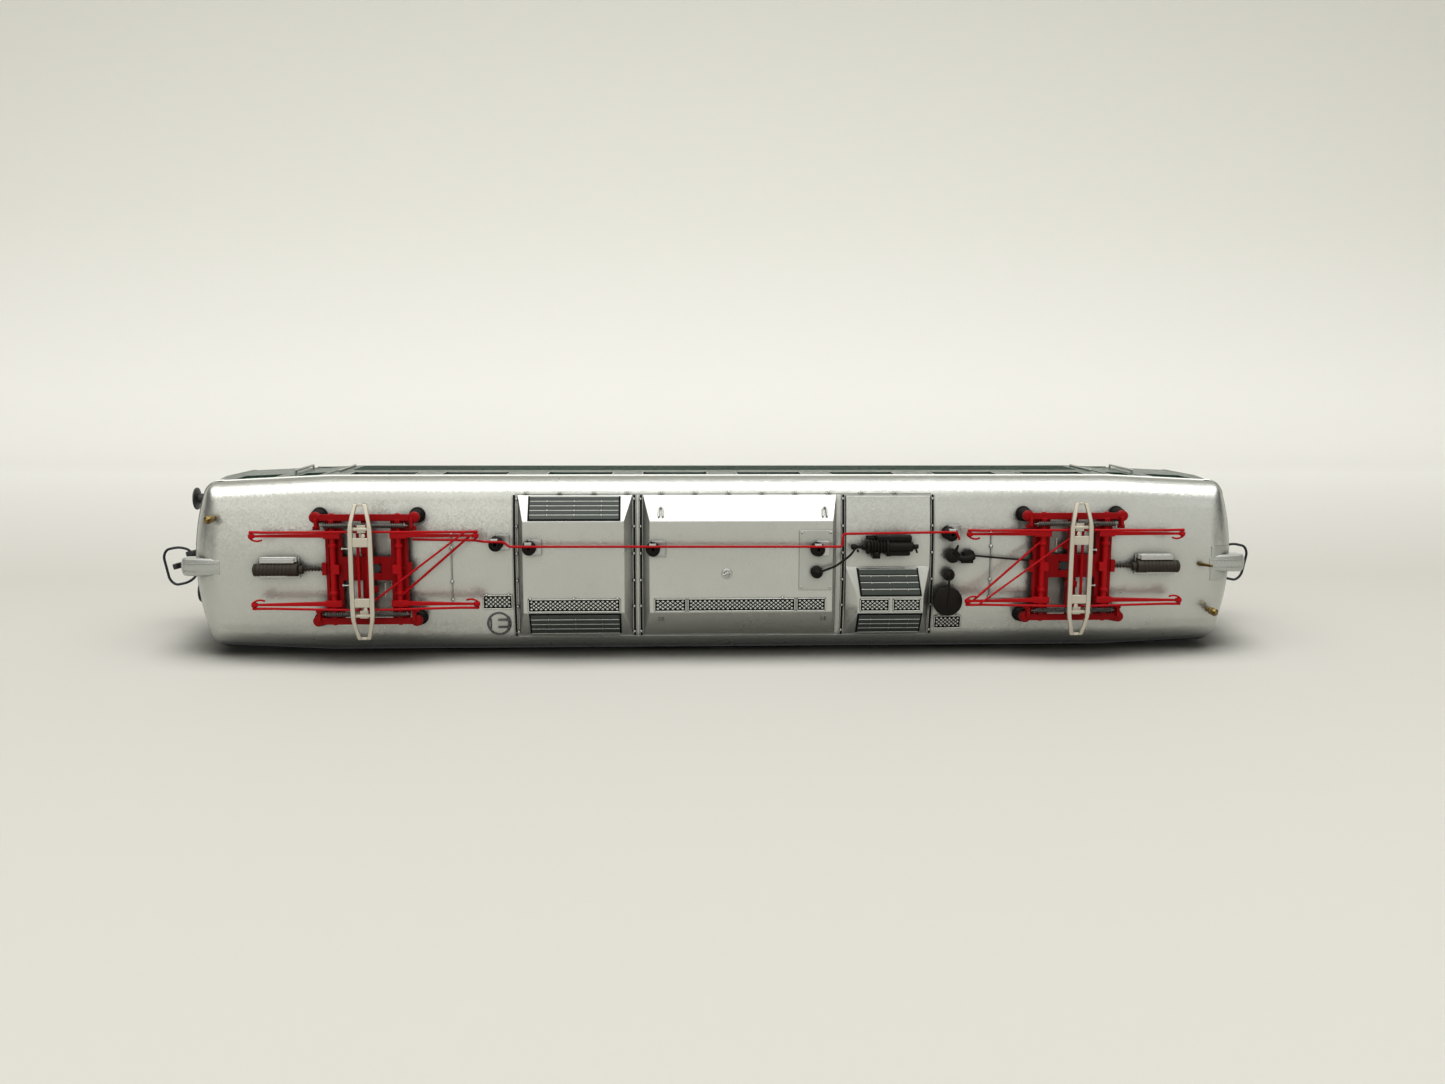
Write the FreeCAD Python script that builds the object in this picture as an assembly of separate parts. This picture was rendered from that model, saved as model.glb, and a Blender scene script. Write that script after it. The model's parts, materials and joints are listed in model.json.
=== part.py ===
"""Six-axle model electric locomotive, 1:87, as separate pieces.

Frame: +X along the track towards end B, +Y across it, +Z up.
The origin is at the middle of the locomotive, on top of the rails. Millimetres.
"""
import FreeCAD, Part
import math
import os

Vec = FreeCAD.Vector
X_AXIS = Vec(1, 0, 0)
Y_AXIS = Vec(0, 1, 0)
Z_AXIS = Vec(0, 0, 1)
ORIGIN = Vec(0, 0, 0)
ENDS = (("a", -1), ("b", 1))
SIDES = (-1, 1)

# ---------------------------------------------------------------- driving dimensions
# body
HALF_WIDTH = 17.2          # body side and roof gutter
SKIRT_Z = 12.2             # lower edge of the body side
WAIST_Z = 25.0             # widest point of the cab front
GUTTER_Z = 37.0            # joint between body and roof
ROOF_Z = 42.4              # crown of the roof
HATCH_Z = 44.2             # flat top of the roof hatches
TAPER_X = 77.0             # the cabs narrow from here to the ends
SKIRT_TIP_X = 104.6        # reach of the cab front at the skirt
WAIST_TIP_X = 105.2        # reach of the cab front at the waist
ROOF_TIP_X = 103.0         # reach of the roof and of the cab front below it
BODY_WALL = 1.2
ROOF_WALL = 1.0
BEAM_BOTTOM_Z = 9.6        # underside of the buffer beam
BEAM_X = 104.9             # outer face of the buffer beam

# running gear
BOGIE_X = 55.5             # bogie pivot
AXLE_X = 25.6              # outer axles, from the bogie pivot
WHEEL_R = 7.2              # tread radius, also the height of the axles
FLANGE_R = 8.1
BACK_TO_BACK = 14.3
WHEEL_WIDTH = 2.8
AXLE_R = 1.0

# gear train
GEAR_MODULE = 0.4
WORM_WHEEL_TEETH = 34
IDLER_TEETH = 40
AXLE_GEAR_TEETH = 22
WORM_PITCH_R = 2.0
GEAR_WIDTH = 1.8
WORM_WHEEL_Z = 15.8
DRIVE_Z = WORM_WHEEL_Z + GEAR_MODULE * WORM_WHEEL_TEETH / 2 + WORM_PITCH_R
PIN_R = 0.8
RUNNING_GAP = 0.06         # radial play of every shaft in its bearing

# pantographs
PANTOGRAPH_X = 68.5
SHAFT_X = 6.2              # main shafts, from the middle of the pantograph
PIVOT_Z = 45.3             # height of the main shafts
LOWER_ARM = 14.8
UPPER_ARM = 20.1
HEAD_PIN_X = 0.9           # head pivots, from the middle of the pantograph
REST_ANGLE = 4.0           # slope of the lower arms when folded, degrees
FOLD_RATIO = 0.855         # slope of the upper arms over that of the lower arms
RAIL_Y = 10.0
LOWER_ARM_Y = 6.6
UPPER_ARM_Y = 7.3
HEAD_Z = 49.2              # underside of the collector strips

# couplings and buffers
COUPLER_X = 93.0           # vertical pivot of the coupling shank
COUPLER_Z = 8.6
LOOP_HINGE_X = 21.6        # loop hinge, from the coupling pivot
COUPLER_SWING = 11.5       # both couplings hang to the -Y side at rest, degrees
BUFFER_FACE_X = 112.0
BUFFER_Y = 10.06
BUFFER_Z = 12.1

# roof line
CONDUCTOR_Z = 46.2
CONDUCTOR_R = 0.25
INSULATOR_R = 1.3


# ---------------------------------------------------------------- shape helpers
def box(x0, x1, y0, y1, z0, z1):
    return Part.makeBox(x1 - x0, y1 - y0, z1 - z0, Vec(x0, y0, z0))


def rod(radius, start, end):
    start = Vec(*start)
    along = Vec(*end) - start
    return Part.makeCylinder(radius, along.Length, start, along)


def cone(start_r, end_r, start, end):
    start = Vec(*start)
    along = Vec(*end) - start
    return Part.makeCone(start_r, end_r, along.Length, start, along)


def fuse(shapes):
    """One solid from touching or overlapping shapes."""
    shapes = list(shapes)
    if len(shapes) == 1:
        return shapes[0]
    return shapes[0].multiFuse(shapes[1:]).removeSplitter()


def cut(shape, tools):
    return shape.cut(list(tools))


def bent_wire(radius, points):
    """Round wire through the points, with a ball in each bend."""
    pieces = [rod(radius, start, end) for start, end in zip(points, points[1:])]
    pieces += [Part.makeSphere(radius, Vec(*point)) for point in points[1:-1]]
    return fuse(pieces)


def prism(points, along):
    """Straight prism over a closed outline of points."""
    corners = [Vec(*point) for point in points]
    return Part.Face(Part.makePolygon(corners + corners[:1])).extrude(Vec(*along))


def side_prism(outline, y0, y1):
    """Prism across the locomotive, over an outline of (x, z) points."""
    return prism([(x, y0, z) for x, z in outline], (0, y1 - y0, 0))


def moved(shape, x=0.0, y=0.0, z=0.0):
    copy = shape.copy()
    copy.translate(Vec(x, y, z))
    return copy


def turned(shape, degrees, axis=Z_AXIS, centre=ORIGIN):
    copy = shape.copy()
    copy.rotate(centre, axis, degrees)
    return copy


def mirrored(shape, normal):
    return shape.mirror(ORIGIN, normal)


def both_sides(shape):
    return [shape, mirrored(shape, Y_AXIS)]


def both_ends(shape):
    return [shape, mirrored(shape, X_AXIS)]


def four_corners(shape):
    return [copy for half in both_sides(shape) for copy in both_ends(half)]


def solids_of(shapes):
    return [solid for shape in shapes for solid in shape.Solids]


def group(shapes):
    """Several separate solids for one node."""
    return Part.makeCompound(solids_of(shapes))


# ---------------------------------------------------------------- body envelope
def plan_wire(tip_x, inset, z):
    """Plan outline of the body: straight sides, tapered cabs, gently bowed ends."""
    side = HALF_WIDTH - inset
    tip = tip_x - inset
    corner = [(tip - 6.2, side - 1.0), (tip - 3.5, side - 1.6), (tip - 2.3, side - 3.2)]
    right = [Vec(x, y, z) for x, y in corner]
    right_low = [Vec(p.x, -p.y, z) for p in reversed(right)]
    left_low = [Vec(-p.x, -p.y, z) for p in right]
    left = [Vec(-p.x, p.y, z) for p in reversed(right)]
    edges = [
        Part.makeLine(Vec(-TAPER_X, side, z), Vec(TAPER_X, side, z)),
        Part.makeLine(Vec(TAPER_X, side, z), right[0]),
        Part.Arc(*right).toShape(),
        Part.Arc(right[2], Vec(tip, 0, z), right_low[0]).toShape(),
        Part.Arc(*right_low).toShape(),
        Part.makeLine(right_low[2], Vec(TAPER_X, -side, z)),
        Part.makeLine(Vec(TAPER_X, -side, z), Vec(-TAPER_X, -side, z)),
        Part.makeLine(Vec(-TAPER_X, -side, z), left_low[0]),
        Part.Arc(*left_low).toShape(),
        Part.Arc(left_low[2], Vec(-tip, 0, z), left[0]).toShape(),
        Part.Arc(*left).toShape(),
        Part.makeLine(left[2], Vec(-TAPER_X, side, z)),
    ]
    return Part.Wire(edges)


def body_envelope(inset, bottom=SKIRT_Z, top=GUTTER_Z):
    """Outer form of the body, or a smaller copy of it, from skirt to gutter."""
    wires = [
        plan_wire(SKIRT_TIP_X, inset, bottom),
        plan_wire(WAIST_TIP_X, inset, WAIST_Z),
        plan_wire(ROOF_TIP_X, inset, top),
    ]
    return Part.makeLoft(wires, True, True)


def roof_section(inset):
    """Roof cross-section, extruded along the locomotive."""
    side = HALF_WIDTH - inset
    crown = ROOF_Z - inset
    low = GUTTER_Z - 1.0
    shoulder = [Vec(0, side, GUTTER_Z + 0.6), Vec(0, side - 1.5, crown - 2.3), Vec(0, side - 4.6, crown - 1.1)]
    other = [Vec(0, -p.y, p.z) for p in reversed(shoulder)]
    edges = [
        Part.makeLine(Vec(0, side, low), shoulder[0]),
        Part.Arc(*shoulder).toShape(),
        Part.Arc(shoulder[2], Vec(0, 0, crown), other[0]).toShape(),
        Part.Arc(*other).toShape(),
        Part.makeLine(other[2], Vec(0, -side, low)),
        Part.makeLine(Vec(0, -side, low), Vec(0, side, low)),
    ]
    length = 2 * ROOF_TIP_X + 4
    face = Part.Face(Part.Wire(edges))
    face.translate(Vec(-length / 2, 0, 0))
    return face.extrude(Vec(length, 0, 0))


def roof_profile(inset):
    """Roof side view with its rounded ends, extruded across the locomotive."""
    tip = ROOF_TIP_X - inset
    crown = ROOF_Z - inset
    low = GUTTER_Z - 1.0
    end = [Vec(tip - 9.0, 0, crown), Vec(tip - 1.9, 0, crown - 1.7), Vec(tip, 0, GUTTER_Z + 0.6)]
    start = [Vec(-p.x, 0, p.z) for p in reversed(end)]
    edges = [
        Part.makeLine(start[2], end[0]),
        Part.Arc(*end).toShape(),
        Part.makeLine(end[2], Vec(tip, 0, low)),
        Part.makeLine(Vec(tip, 0, low), Vec(-tip, 0, low)),
        Part.makeLine(Vec(-tip, 0, low), start[0]),
        Part.Arc(*start).toShape(),
    ]
    face = Part.Face(Part.Wire(edges))
    face.translate(Vec(0, -HALF_WIDTH - 2, 0))
    return face.extrude(Vec(0, 2 * HALF_WIDTH + 4, 0))


def roof_envelope(inset=0.0, bottom=GUTTER_Z):
    """Outer form of the roof, or a smaller copy of it."""
    plan = Part.Face(plan_wire(ROOF_TIP_X, inset, bottom)).extrude(Vec(0, 0, ROOF_Z))
    return plan.common(roof_section(inset)).common(roof_profile(inset))


def on_roof(shape):
    """Trim the foot of a roof fitting to the curve of the roof."""
    return shape.cut(roof_envelope())


# ---------------------------------------------------------------- body
SIDE_BAYS = (-67.2, -49.1, -28.35, -9.45, 9.45, 28.35, 49.1, 67.2)
WINDOW_BAYS = (-28.35, 28.35)
BAY_WIDTH = 12.8
BAY_BOTTOM_Z = 29.5
BAY_TOP_Z = 36.0
DOOR_X = 81.8
DOOR_WIDTH = 7.0
CAB_WINDOW_X = 92.2
CAB_WINDOW_WIDTH = 7.6
GLASS_BOTTOM_Z = 27.5
GLASS_TOP_Z = 35.0
WINDSCREEN_Y = (1.2, 12.2)
LAMP_Y = 10.8
LAMP_Z = 18.0
LAMP_R = 1.5


def side_blocks(centre_x, width, bottom, top):
    """Blocks through both side walls, used for openings and for what fills them."""
    half = width / 2
    return both_sides(box(centre_x - half, centre_x + half, 10.0, HALF_WIDTH + 2, bottom, top))


def vent_blocks():
    vents = [x for x in SIDE_BAYS if x not in WINDOW_BAYS]
    return [block for x in vents for block in side_blocks(x, BAY_WIDTH, BAY_BOTTOM_Z, BAY_TOP_Z)]


def glass_blocks():
    """Blocks for the side windows, cab windows, door windows and windscreens."""
    blocks = [block for x in WINDOW_BAYS for block in side_blocks(x, BAY_WIDTH, BAY_BOTTOM_Z, BAY_TOP_Z)]
    for end in SIDES:
        blocks += side_blocks(end * CAB_WINDOW_X, CAB_WINDOW_WIDTH, GLASS_BOTTOM_Z, GLASS_TOP_Z)
        blocks += side_blocks(end * DOOR_X, DOOR_WIDTH - 3.0, GLASS_BOTTOM_Z, GLASS_TOP_Z)
    inner, outer = WINDSCREEN_Y
    screen = box(98.5, 110.0, inner, outer, GLASS_BOTTOM_Z, GLASS_TOP_Z)
    return blocks + four_corners(screen)


def wall_layer(outer_inset, inner_inset):
    """Layer of the body wall between two depths."""
    return body_envelope(outer_inset).cut(body_envelope(inner_inset))


def buffer_beams():
    """Beam across each end, with the end steps, below the cab front."""
    beam = box(101.6, BEAM_X, -14.6, 14.6, BEAM_BOTTOM_Z, SKIRT_Z + 2.4)
    beam = beam.cut(box(101.0, 103.2, -13.4, 13.4, SKIRT_Z, SKIRT_Z + 3.0))
    return both_ends(beam)


def body_shell():
    shell = body_envelope(0.0).cut(body_envelope(BODY_WALL, SKIRT_Z - 1.0, GUTTER_Z + 1.0))
    shelf = box(94.5, 104.0, -3.0, 3.0, 18.1, 21.6)
    shelf = shelf.common(body_envelope(BODY_WALL / 2))
    housing = rod(LAMP_R + 0.4, (101.0, LAMP_Y, LAMP_Z), (105.2, LAMP_Y, LAMP_Z))
    housing = housing.cut(body_envelope(BODY_WALL))
    shell = fuse([shell] + both_ends(shelf) + four_corners(housing) + buffer_beams())
    pilot = rod(0.6, (98.0, 0, 17.0), (98.0, 0, 22.0))
    lamp_hole = rod(LAMP_R, (100.0, LAMP_Y, LAMP_Z), (107.0, LAMP_Y, LAMP_Z))
    tools = vent_blocks() + glass_blocks() + both_ends(pilot) + four_corners(lamp_hole)
    return cut(shell, tools)


def window_glazing():
    layer = wall_layer(0.35, 0.95)
    return group(layer.common(block) for block in glass_blocks())


def side_vents():
    """Slatted grilles that fill the vent openings of the body side."""
    layer = wall_layer(0.15, 0.95)
    groove_layer = wall_layer(0.15, 0.5)
    slats = 6
    pitch = (BAY_TOP_Z - BAY_BOTTOM_Z) / slats
    vents = []
    for block in vent_blocks():
        vent = layer.common(block)
        middle_x = block.CenterOfMass.x
        grooves = []
        for slat in range(slats):
            low = BAY_BOTTOM_Z + slat * pitch + 0.25 * pitch
            for side in side_blocks(middle_x, BAY_WIDTH - 1.0, low, low + 0.5 * pitch):
                grooves.append(groove_layer.common(side))
        vents.append(cut(vent, grooves))
    return vents


def lamp_lenses():
    lower = rod(LAMP_R, (103.9, LAMP_Y, LAMP_Z), (105.0, LAMP_Y, LAMP_Z))
    upper = rod(FAIRING_R - 0.35, (ROOF_TIP_X + 0.9, 0, FAIRING_Z), (ROOF_TIP_X + 1.5, 0, FAIRING_Z))
    return group(four_corners(lower) + both_ends(upper))


def handrails():
    """Door rails on the body side and short rails below the windscreens."""
    rails = []
    for x in (DOOR_X - DOOR_WIDTH / 2 - 0.9, DOOR_X + DOOR_WIDTH / 2 + 0.9):
        rail_y = HALF_WIDTH + 0.2
        points = [(x, 15.5, 14.0), (x, rail_y, 14.0), (x, rail_y, 27.0), (x, 15.5, 27.0)]
        rails += four_corners(bent_wire(0.22, points))
    front = [(101.0, 3.0, 24.4), (106.0, 3.0, 24.4), (105.2, 12.0, 24.4), (101.0, 12.0, 24.4)]
    rails += four_corners(bent_wire(0.22, front))
    return group(rail.cut(body_envelope(0.0)) for rail in rails)


def cab_interiors():
    """Floor, desk, back wall and seat of each driving cab."""
    floor = box(82.5, 101.0, -14.0, 14.0, 22.2, 23.0)
    desk = side_prism([(96.0, 23.0), (101.0, 23.0), (101.0, 26.6), (96.0, 25.6)], -13.0, 13.0)
    back = box(82.5, 83.3, -14.0, 14.0, 23.0, 35.5)
    seat = fuse([
        rod(0.7, (91.0, 6.0, 23.0), (91.0, 6.0, 25.0)),
        box(89.4, 93.0, 4.2, 7.8, 25.0, 25.8),
        box(89.4, 90.1, 4.2, 7.8, 25.8, 30.0),
    ])
    cab = fuse([floor, desk, back, seat]).common(body_envelope(BODY_WALL + 0.3))
    return group(both_ends(cab))


# ---------------------------------------------------------------- roof
FAIRING_R = 1.75
FAIRING_Z = 40.3
SLOPE_FOOT = (14.3, 40.8)  # foot of the hatch slopes, Y and Z
SLOPE_TOP_Y = 8.95         # upper edge of the hatch slopes
LOUVRE_LIFT = 0.25
LOUVRE_RISE = 0.6          # lower edge of a grille above the foot of its slope
FRONT_HATCH = (-40.1, -38.95, -19.4, -17.75)
MIDDLE_HATCH = (-15.85, -14.5, 21.2, 22.2)
REAR_PANEL = (23.9, 40.9)
REAR_BOX = (23.9, 26.3, 39.2, 40.6)
REAR_BOX_TOP = (-9.3, -6.1)
REAR_BOX_FOOT_Y = -0.2
PANEL_Z = 42.9


def roof_shell():
    shell = roof_envelope().cut(roof_envelope(ROOF_WALL, GUTTER_Z - 0.5))
    gutter = Part.Face(plan_wire(ROOF_TIP_X, -0.25, GUTTER_Z)).extrude(Vec(0, 0, 0.45))
    gutter = gutter.cut(roof_envelope(ROOF_WALL / 2, GUTTER_Z - 0.5))
    fairing = rod(FAIRING_R, (96.0, 0, FAIRING_Z), (ROOF_TIP_X + 1.6, 0, FAIRING_Z))
    fairing = fairing.cut(roof_envelope(ROOF_WALL / 2))
    socket = rod(FAIRING_R - 0.35, (ROOF_TIP_X + 0.9, 0, FAIRING_Z), (ROOF_TIP_X + 2.0, 0, FAIRING_Z))
    return cut(fuse([shell, gutter] + both_ends(fairing)), both_ends(socket))


def hatch_block(spans, foot, top, top_z):
    """Block with sloping ends and sides: spans are foot, top, top and foot along X, foot is two (y, z)."""
    foot_x0, top_x0, top_x1, foot_x1 = spans
    (low_y, low_z), (high_y, high_z) = foot
    low = [Vec(foot_x0, low_y, low_z), Vec(foot_x1, low_y, low_z),
           Vec(foot_x1, high_y, high_z), Vec(foot_x0, high_y, high_z)]
    high = [Vec(top_x0, top[0], top_z), Vec(top_x1, top[0], top_z),
            Vec(top_x1, top[1], top_z), Vec(top_x0, top[1], top_z)]
    wires = [Part.makePolygon(points + points[:1]) for points in (low, high)]
    return Part.makeLoft(wires, True, True)


def roof_hatches():
    """Three lift-off hatches over the machine room."""
    foot_y, foot_z = SLOPE_FOOT
    foot = ((-foot_y, foot_z), (foot_y, foot_z))
    top = (-SLOPE_TOP_Y, SLOPE_TOP_Y)
    front = hatch_block(FRONT_HATCH, foot, top, HATCH_Z)
    middle = hatch_block(MIDDLE_HATCH, foot, top, HATCH_Z)
    panel = box(REAR_PANEL[0], REAR_PANEL[1], REAR_BOX_TOP[1], 13.7, foot_z, PANEL_Z)
    panel = panel.common(moved(roof_section(0.0), z=0.45))
    rear_foot = ((-foot_y, foot_z), (REAR_BOX_FOOT_Y, PANEL_Z))
    rear = fuse([panel, hatch_block(REAR_BOX, rear_foot, REAR_BOX_TOP, HATCH_Z)])
    return group(on_roof(hatch) for hatch in (front, middle, rear))


def louvre(length, height):
    """Slatted grille lying in the XY plane, its slats along X."""
    plate = box(-length / 2, length / 2, 0.0, height, 0.0, 0.15)
    slats = max(3, round(height / 1.1))
    pitch = height / slats
    bars = []
    for slat in range(slats):
        low = slat * pitch
        bars.append(box(-length / 2, length / 2, low, low + 0.45 * pitch, 0.15, LOUVRE_LIFT + 0.15))
    return fuse([plate] + bars)


def sloped_louvre(middle_x, length, foot, top, margin):
    """Grille on a slope that rises from foot to top, both (y, z)."""
    run = top[0] - foot[0]
    rise = top[1] - foot[1]
    slope_length = math.hypot(run, rise)
    tilt = math.degrees(math.atan2(rise, abs(run)))
    grille = moved(louvre(length, slope_length - 2 * margin), y=margin)
    grille = turned(grille, tilt, X_AXIS)
    if run < 0:
        grille = mirrored(grille, Y_AXIS)
    return moved(grille, middle_x, foot[0], foot[1])


def louvre_grilles():
    """Grilles on the hatch slopes, and the vents of the body side."""
    foot_z = SLOPE_FOOT[1] + LOUVRE_RISE
    share = LOUVRE_RISE / (HATCH_Z - SLOPE_FOOT[1])
    foot_y = SLOPE_FOOT[0] + share * (SLOPE_TOP_Y - SLOPE_FOOT[0])
    front_x = (FRONT_HATCH[1] + FRONT_HATCH[2]) / 2
    grilles = []
    for side in SIDES:
        foot = (side * foot_y, foot_z)
        top = (side * SLOPE_TOP_Y, HATCH_Z)
        grilles.append(sloped_louvre(front_x, 17.6, foot, top, 0.3))
    rear_x = (REAR_BOX[1] + REAR_BOX[2]) / 2
    low_y = -SLOPE_FOOT[0] + share * (REAR_BOX_TOP[0] + SLOPE_FOOT[0])
    grilles.append(sloped_louvre(rear_x, 12.2, (low_y, foot_z), (REAR_BOX_TOP[0], HATCH_Z), 0.3))
    crest = (REAR_BOX_FOOT_Y, PANEL_Z)
    grilles.append(sloped_louvre(rear_x, 12.2, crest, (REAR_BOX_TOP[1], HATCH_Z), 0.3))
    return group([on_roof(grille) for grille in grilles] + side_vents())


CONDUCTOR_PATH = (
    (-59.9, 5.6, 44.2), (-48.2, 5.4, 44.2), (-46.0, 5.4, CONDUCTOR_Z), (-42.2, 5.3, CONDUCTOR_Z),
    (-41.3, 4.4, CONDUCTOR_Z), (22.7, 4.2, CONDUCTOR_Z), (22.9, 6.7, CONDUCTOR_Z),
    (45.0, 7.0, CONDUCTOR_Z), (45.6, 5.5, CONDUCTOR_Z),
)
CONDUCTOR_POSTS = ((-44.0, 4.6), (-37.6, 3.9), (-13.8, 3.6), (18.2, 3.5), (44.3, 6.3))
BREAKER_POST = (18.0, -1.0)


def roof_conductor():
    return bent_wire(CONDUCTOR_R, CONDUCTOR_PATH)


def ribbed_post(x, y, foot_z, top_z, radius):
    """Post insulator: a stem with three wide sheds."""
    height = top_z - foot_z
    pieces = [rod(radius * 0.6, (x, y, foot_z), (x, y, top_z))]
    for shed in range(3):
        low = foot_z + height * (0.14 + 0.28 * shed)
        pieces.append(rod(radius, (x, y, low), (x, y, low + 0.14 * height)))
    return fuse(pieces)


def roof_insulators():
    """Posts under the roof conductor, the breaker link and the four feet of each pantograph."""
    posts = []
    for x, y in CONDUCTOR_POSTS:
        on_hatch = FRONT_HATCH[1] < x < MIDDLE_HATCH[2]
        foot_z = HATCH_Z if on_hatch else ROOF_Z - 1.0
        posts.append(ribbed_post(x, y, foot_z, CONDUCTOR_Z - CONDUCTOR_R, INSULATOR_R))
    posts.append(ribbed_post(BREAKER_POST[0], BREAKER_POST[1], HATCH_Z, 45.7, 1.1))
    for _, end in ENDS:
        for x in (-RAIL_EYE_X, RAIL_EYE_X):
            for side in SIDES:
                post = ribbed_post(end * PANTOGRAPH_X + x, side * RAIL_Y, ROOF_Z - 1.6, RAIL_BOTTOM_Z, 1.25)
                posts.append(post)
    return group(on_roof(post) for post in posts)


def circuit_breaker():
    """Air-blast breaker lying along the rear hatch, on two feet, with its link to the post."""
    y = 4.0
    z = 45.0
    body = fuse([
        rod(1.15, (27.6, y, z), (36.6, y, z)),
        rod(0.6, (24.6, y, z), (27.6, y, z)),
        rod(0.7, (36.6, y, z), (37.8, y, z)),
        rod(1.45, (27.0, y, z), (28.0, y, z)),
        rod(1.45, (30.6, y, z), (31.6, y, z)),
        box(28.2, 29.4, y - 0.6, y + 0.6, PANEL_Z - 0.6, z),
        box(34.4, 35.6, y - 0.6, y + 0.6, PANEL_Z - 0.6, z),
    ])
    link = bent_wire(0.25, [(25.2, y - 0.2, z), (24.0, 2.0, 45.9), (BREAKER_POST[0], BREAKER_POST[1], 45.95)])
    return group([cut(fuse([body, link]), [roof_hatches(), roof_envelope()])])


def voltage_transformer():
    """Transformer bushing, arrester and lead-through posts beside the rear hatch."""
    base_z = ROOF_Z - 1.2
    bushing = fuse([
        rod(2.1, (44.0, -7.0, base_z), (44.0, -7.0, 44.2)),
        rod(2.85, (44.0, -7.0, 44.2), (44.0, -7.0, 44.9)),
        rod(0.6, (44.2, -1.8, base_z), (44.2, -1.8, 44.6)),
        rod(1.15, (44.2, -1.8, 43.6), (44.2, -1.8, 44.3)),
        bent_wire(0.25, [(44.0, -7.0, 45.0), (44.2, -1.8, 44.5), (44.9, 2.0, 44.6)]),
        rod(0.7, (44.9, 2.0, base_z), (44.9, 2.0, 44.9)),
        rod(1.3, (44.9, 2.0, 43.4), (44.9, 2.0, 43.9)),
        rod(1.3, (44.9, 2.0, 44.2), (44.9, 2.0, 44.6)),
    ])
    lead = fuse([
        rod(0.9, (48.2, 2.0, base_z), (48.2, 2.0, 43.9)),
        bent_wire(0.22, [(44.9, 2.0, 44.4), (48.2, 2.0, 43.9), (60.4, 1.0, 43.9)]),
    ])
    return group([on_roof(fuse([bushing, lead]))])


def pantograph_drives():
    """Air cylinder, foot plate and ribbed rod of each pantograph drive."""
    drive = fuse([
        rod(1.2, (81.6, 0, 43.9), (90.2, 0, 43.9)),
        rod(0.8, (80.9, 0, 43.9), (81.6, 0, 43.9)),
        box(81.8, 88.6, -2.0, 2.0, ROOF_Z - 0.4, ROOF_Z + 0.35),
        box(83.0, 87.5, -1.0, 1.0, ROOF_Z, 43.9),
        rod(0.3, (76.4, 0, 43.9), (81.0, 0, 43.9)),
        rod(0.5, (77.4, 0, 43.9), (77.8, 0, 43.9)),
        rod(0.5, (78.4, 0, 43.9), (78.8, 0, 43.9)),
        rod(0.5, (79.4, 0, 43.9), (79.8, 0, 43.9)),
    ])
    return group(both_ends(on_roof(drive)))


def whistles():
    """Brass whistle at each end, and the radio pin at end B."""
    def whistle(x, y):
        return fuse([
            rod(0.35, (x, y, 40.0), (x, y, 43.2)),
            rod(0.75, (x, y, 43.0), (x, y, 44.9)),
            cone(0.75, 0.3, (x, y, 44.9), (x, y, 45.4)),
        ])
    pin = fuse([rod(0.45, (95.0, 0, 40.0), (95.0, 0, 42.9)), rod(0.3, (95.0, 0, 42.7), (96.3, 0, 45.6))])
    return group(on_roof(fitting) for fitting in (whistle(-97.9, 9.5), whistle(97.5, -9.4), pin))


# ---------------------------------------------------------------- pantographs
RAIL_EYE_X = 9.3
RAIL_BOTTOM_Z = 44.5
RAIL_TOP_Z = 45.9
RAIL_HALF_WIDTH = 0.6
SHAFT_R = 0.55
JOURNAL_R = 0.42
SPRING_R = 0.45
SPRING_Y = 8.55
SPRING_Z = 46.25
KNEE_PIN_R = 0.25
EYE_R = 0.62
ARM_WIRE_R = 0.25
HEAD_BAR_R = 0.28
HEAD_BAR_Y = 8.7
STRIP_X = (1.35, 2.2)
STRIP_Y = 8.8
HORN_Y = 12.8


def knee_point():
    slope = math.radians(REST_ANGLE)
    return SHAFT_X + LOWER_ARM * math.cos(slope), PIVOT_Z + LOWER_ARM * math.sin(slope)


def head_pin_z():
    return knee_point()[1] + UPPER_ARM * math.sin(math.radians(REST_ANGLE * FOLD_RATIO))


def base_frame():
    """Two rails on the insulators, three cross members and the spring anchors."""
    half_y = RAIL_HALF_WIDTH
    rail = fuse([
        box(-RAIL_EYE_X, RAIL_EYE_X, RAIL_Y - half_y, RAIL_Y + half_y, RAIL_BOTTOM_Z, RAIL_TOP_Z),
        rod(1.0, (RAIL_EYE_X, RAIL_Y, RAIL_BOTTOM_Z), (RAIL_EYE_X, RAIL_Y, RAIL_TOP_Z)),
        rod(1.0, (-RAIL_EYE_X, RAIL_Y, RAIL_BOTTOM_Z), (-RAIL_EYE_X, RAIL_Y, RAIL_TOP_Z)),
    ])
    anchor = box(8.8, 9.3, SPRING_Y - 0.4, RAIL_Y, 44.9, SPRING_Z + 0.35)
    member = box(SHAFT_X - 1.6, SHAFT_X + 1.6, -RAIL_Y, RAIL_Y, 43.6, RAIL_BOTTOM_Z)
    middle = box(-1.0, 1.0, -RAIL_Y, RAIL_Y, 43.6, RAIL_BOTTOM_Z)
    plate = box(-SHAFT_X, SHAFT_X, -2.2, 2.2, 43.7, 44.3)
    frame = fuse(both_sides(rail) + four_corners(anchor) + both_ends(member) + [middle, plate])
    bearing = rod(JOURNAL_R + RUNNING_GAP, (SHAFT_X, -12, PIVOT_Z), (SHAFT_X, 12, PIVOT_Z))
    return cut(frame, both_ends(bearing) + [rod(0.4, (1.6, 0, 43), (1.6, 0, 45))])


def tension_springs():
    """Coil springs beside the rails, drawn as closed coils with an end hook."""
    spring = fuse([
        rod(SPRING_R, (-8.0, SPRING_Y, SPRING_Z), (8.0, SPRING_Y, SPRING_Z)),
        rod(0.2, (-8.8, SPRING_Y, SPRING_Z), (8.8, SPRING_Y, SPRING_Z)),
    ])
    return both_sides(spring)


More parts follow.
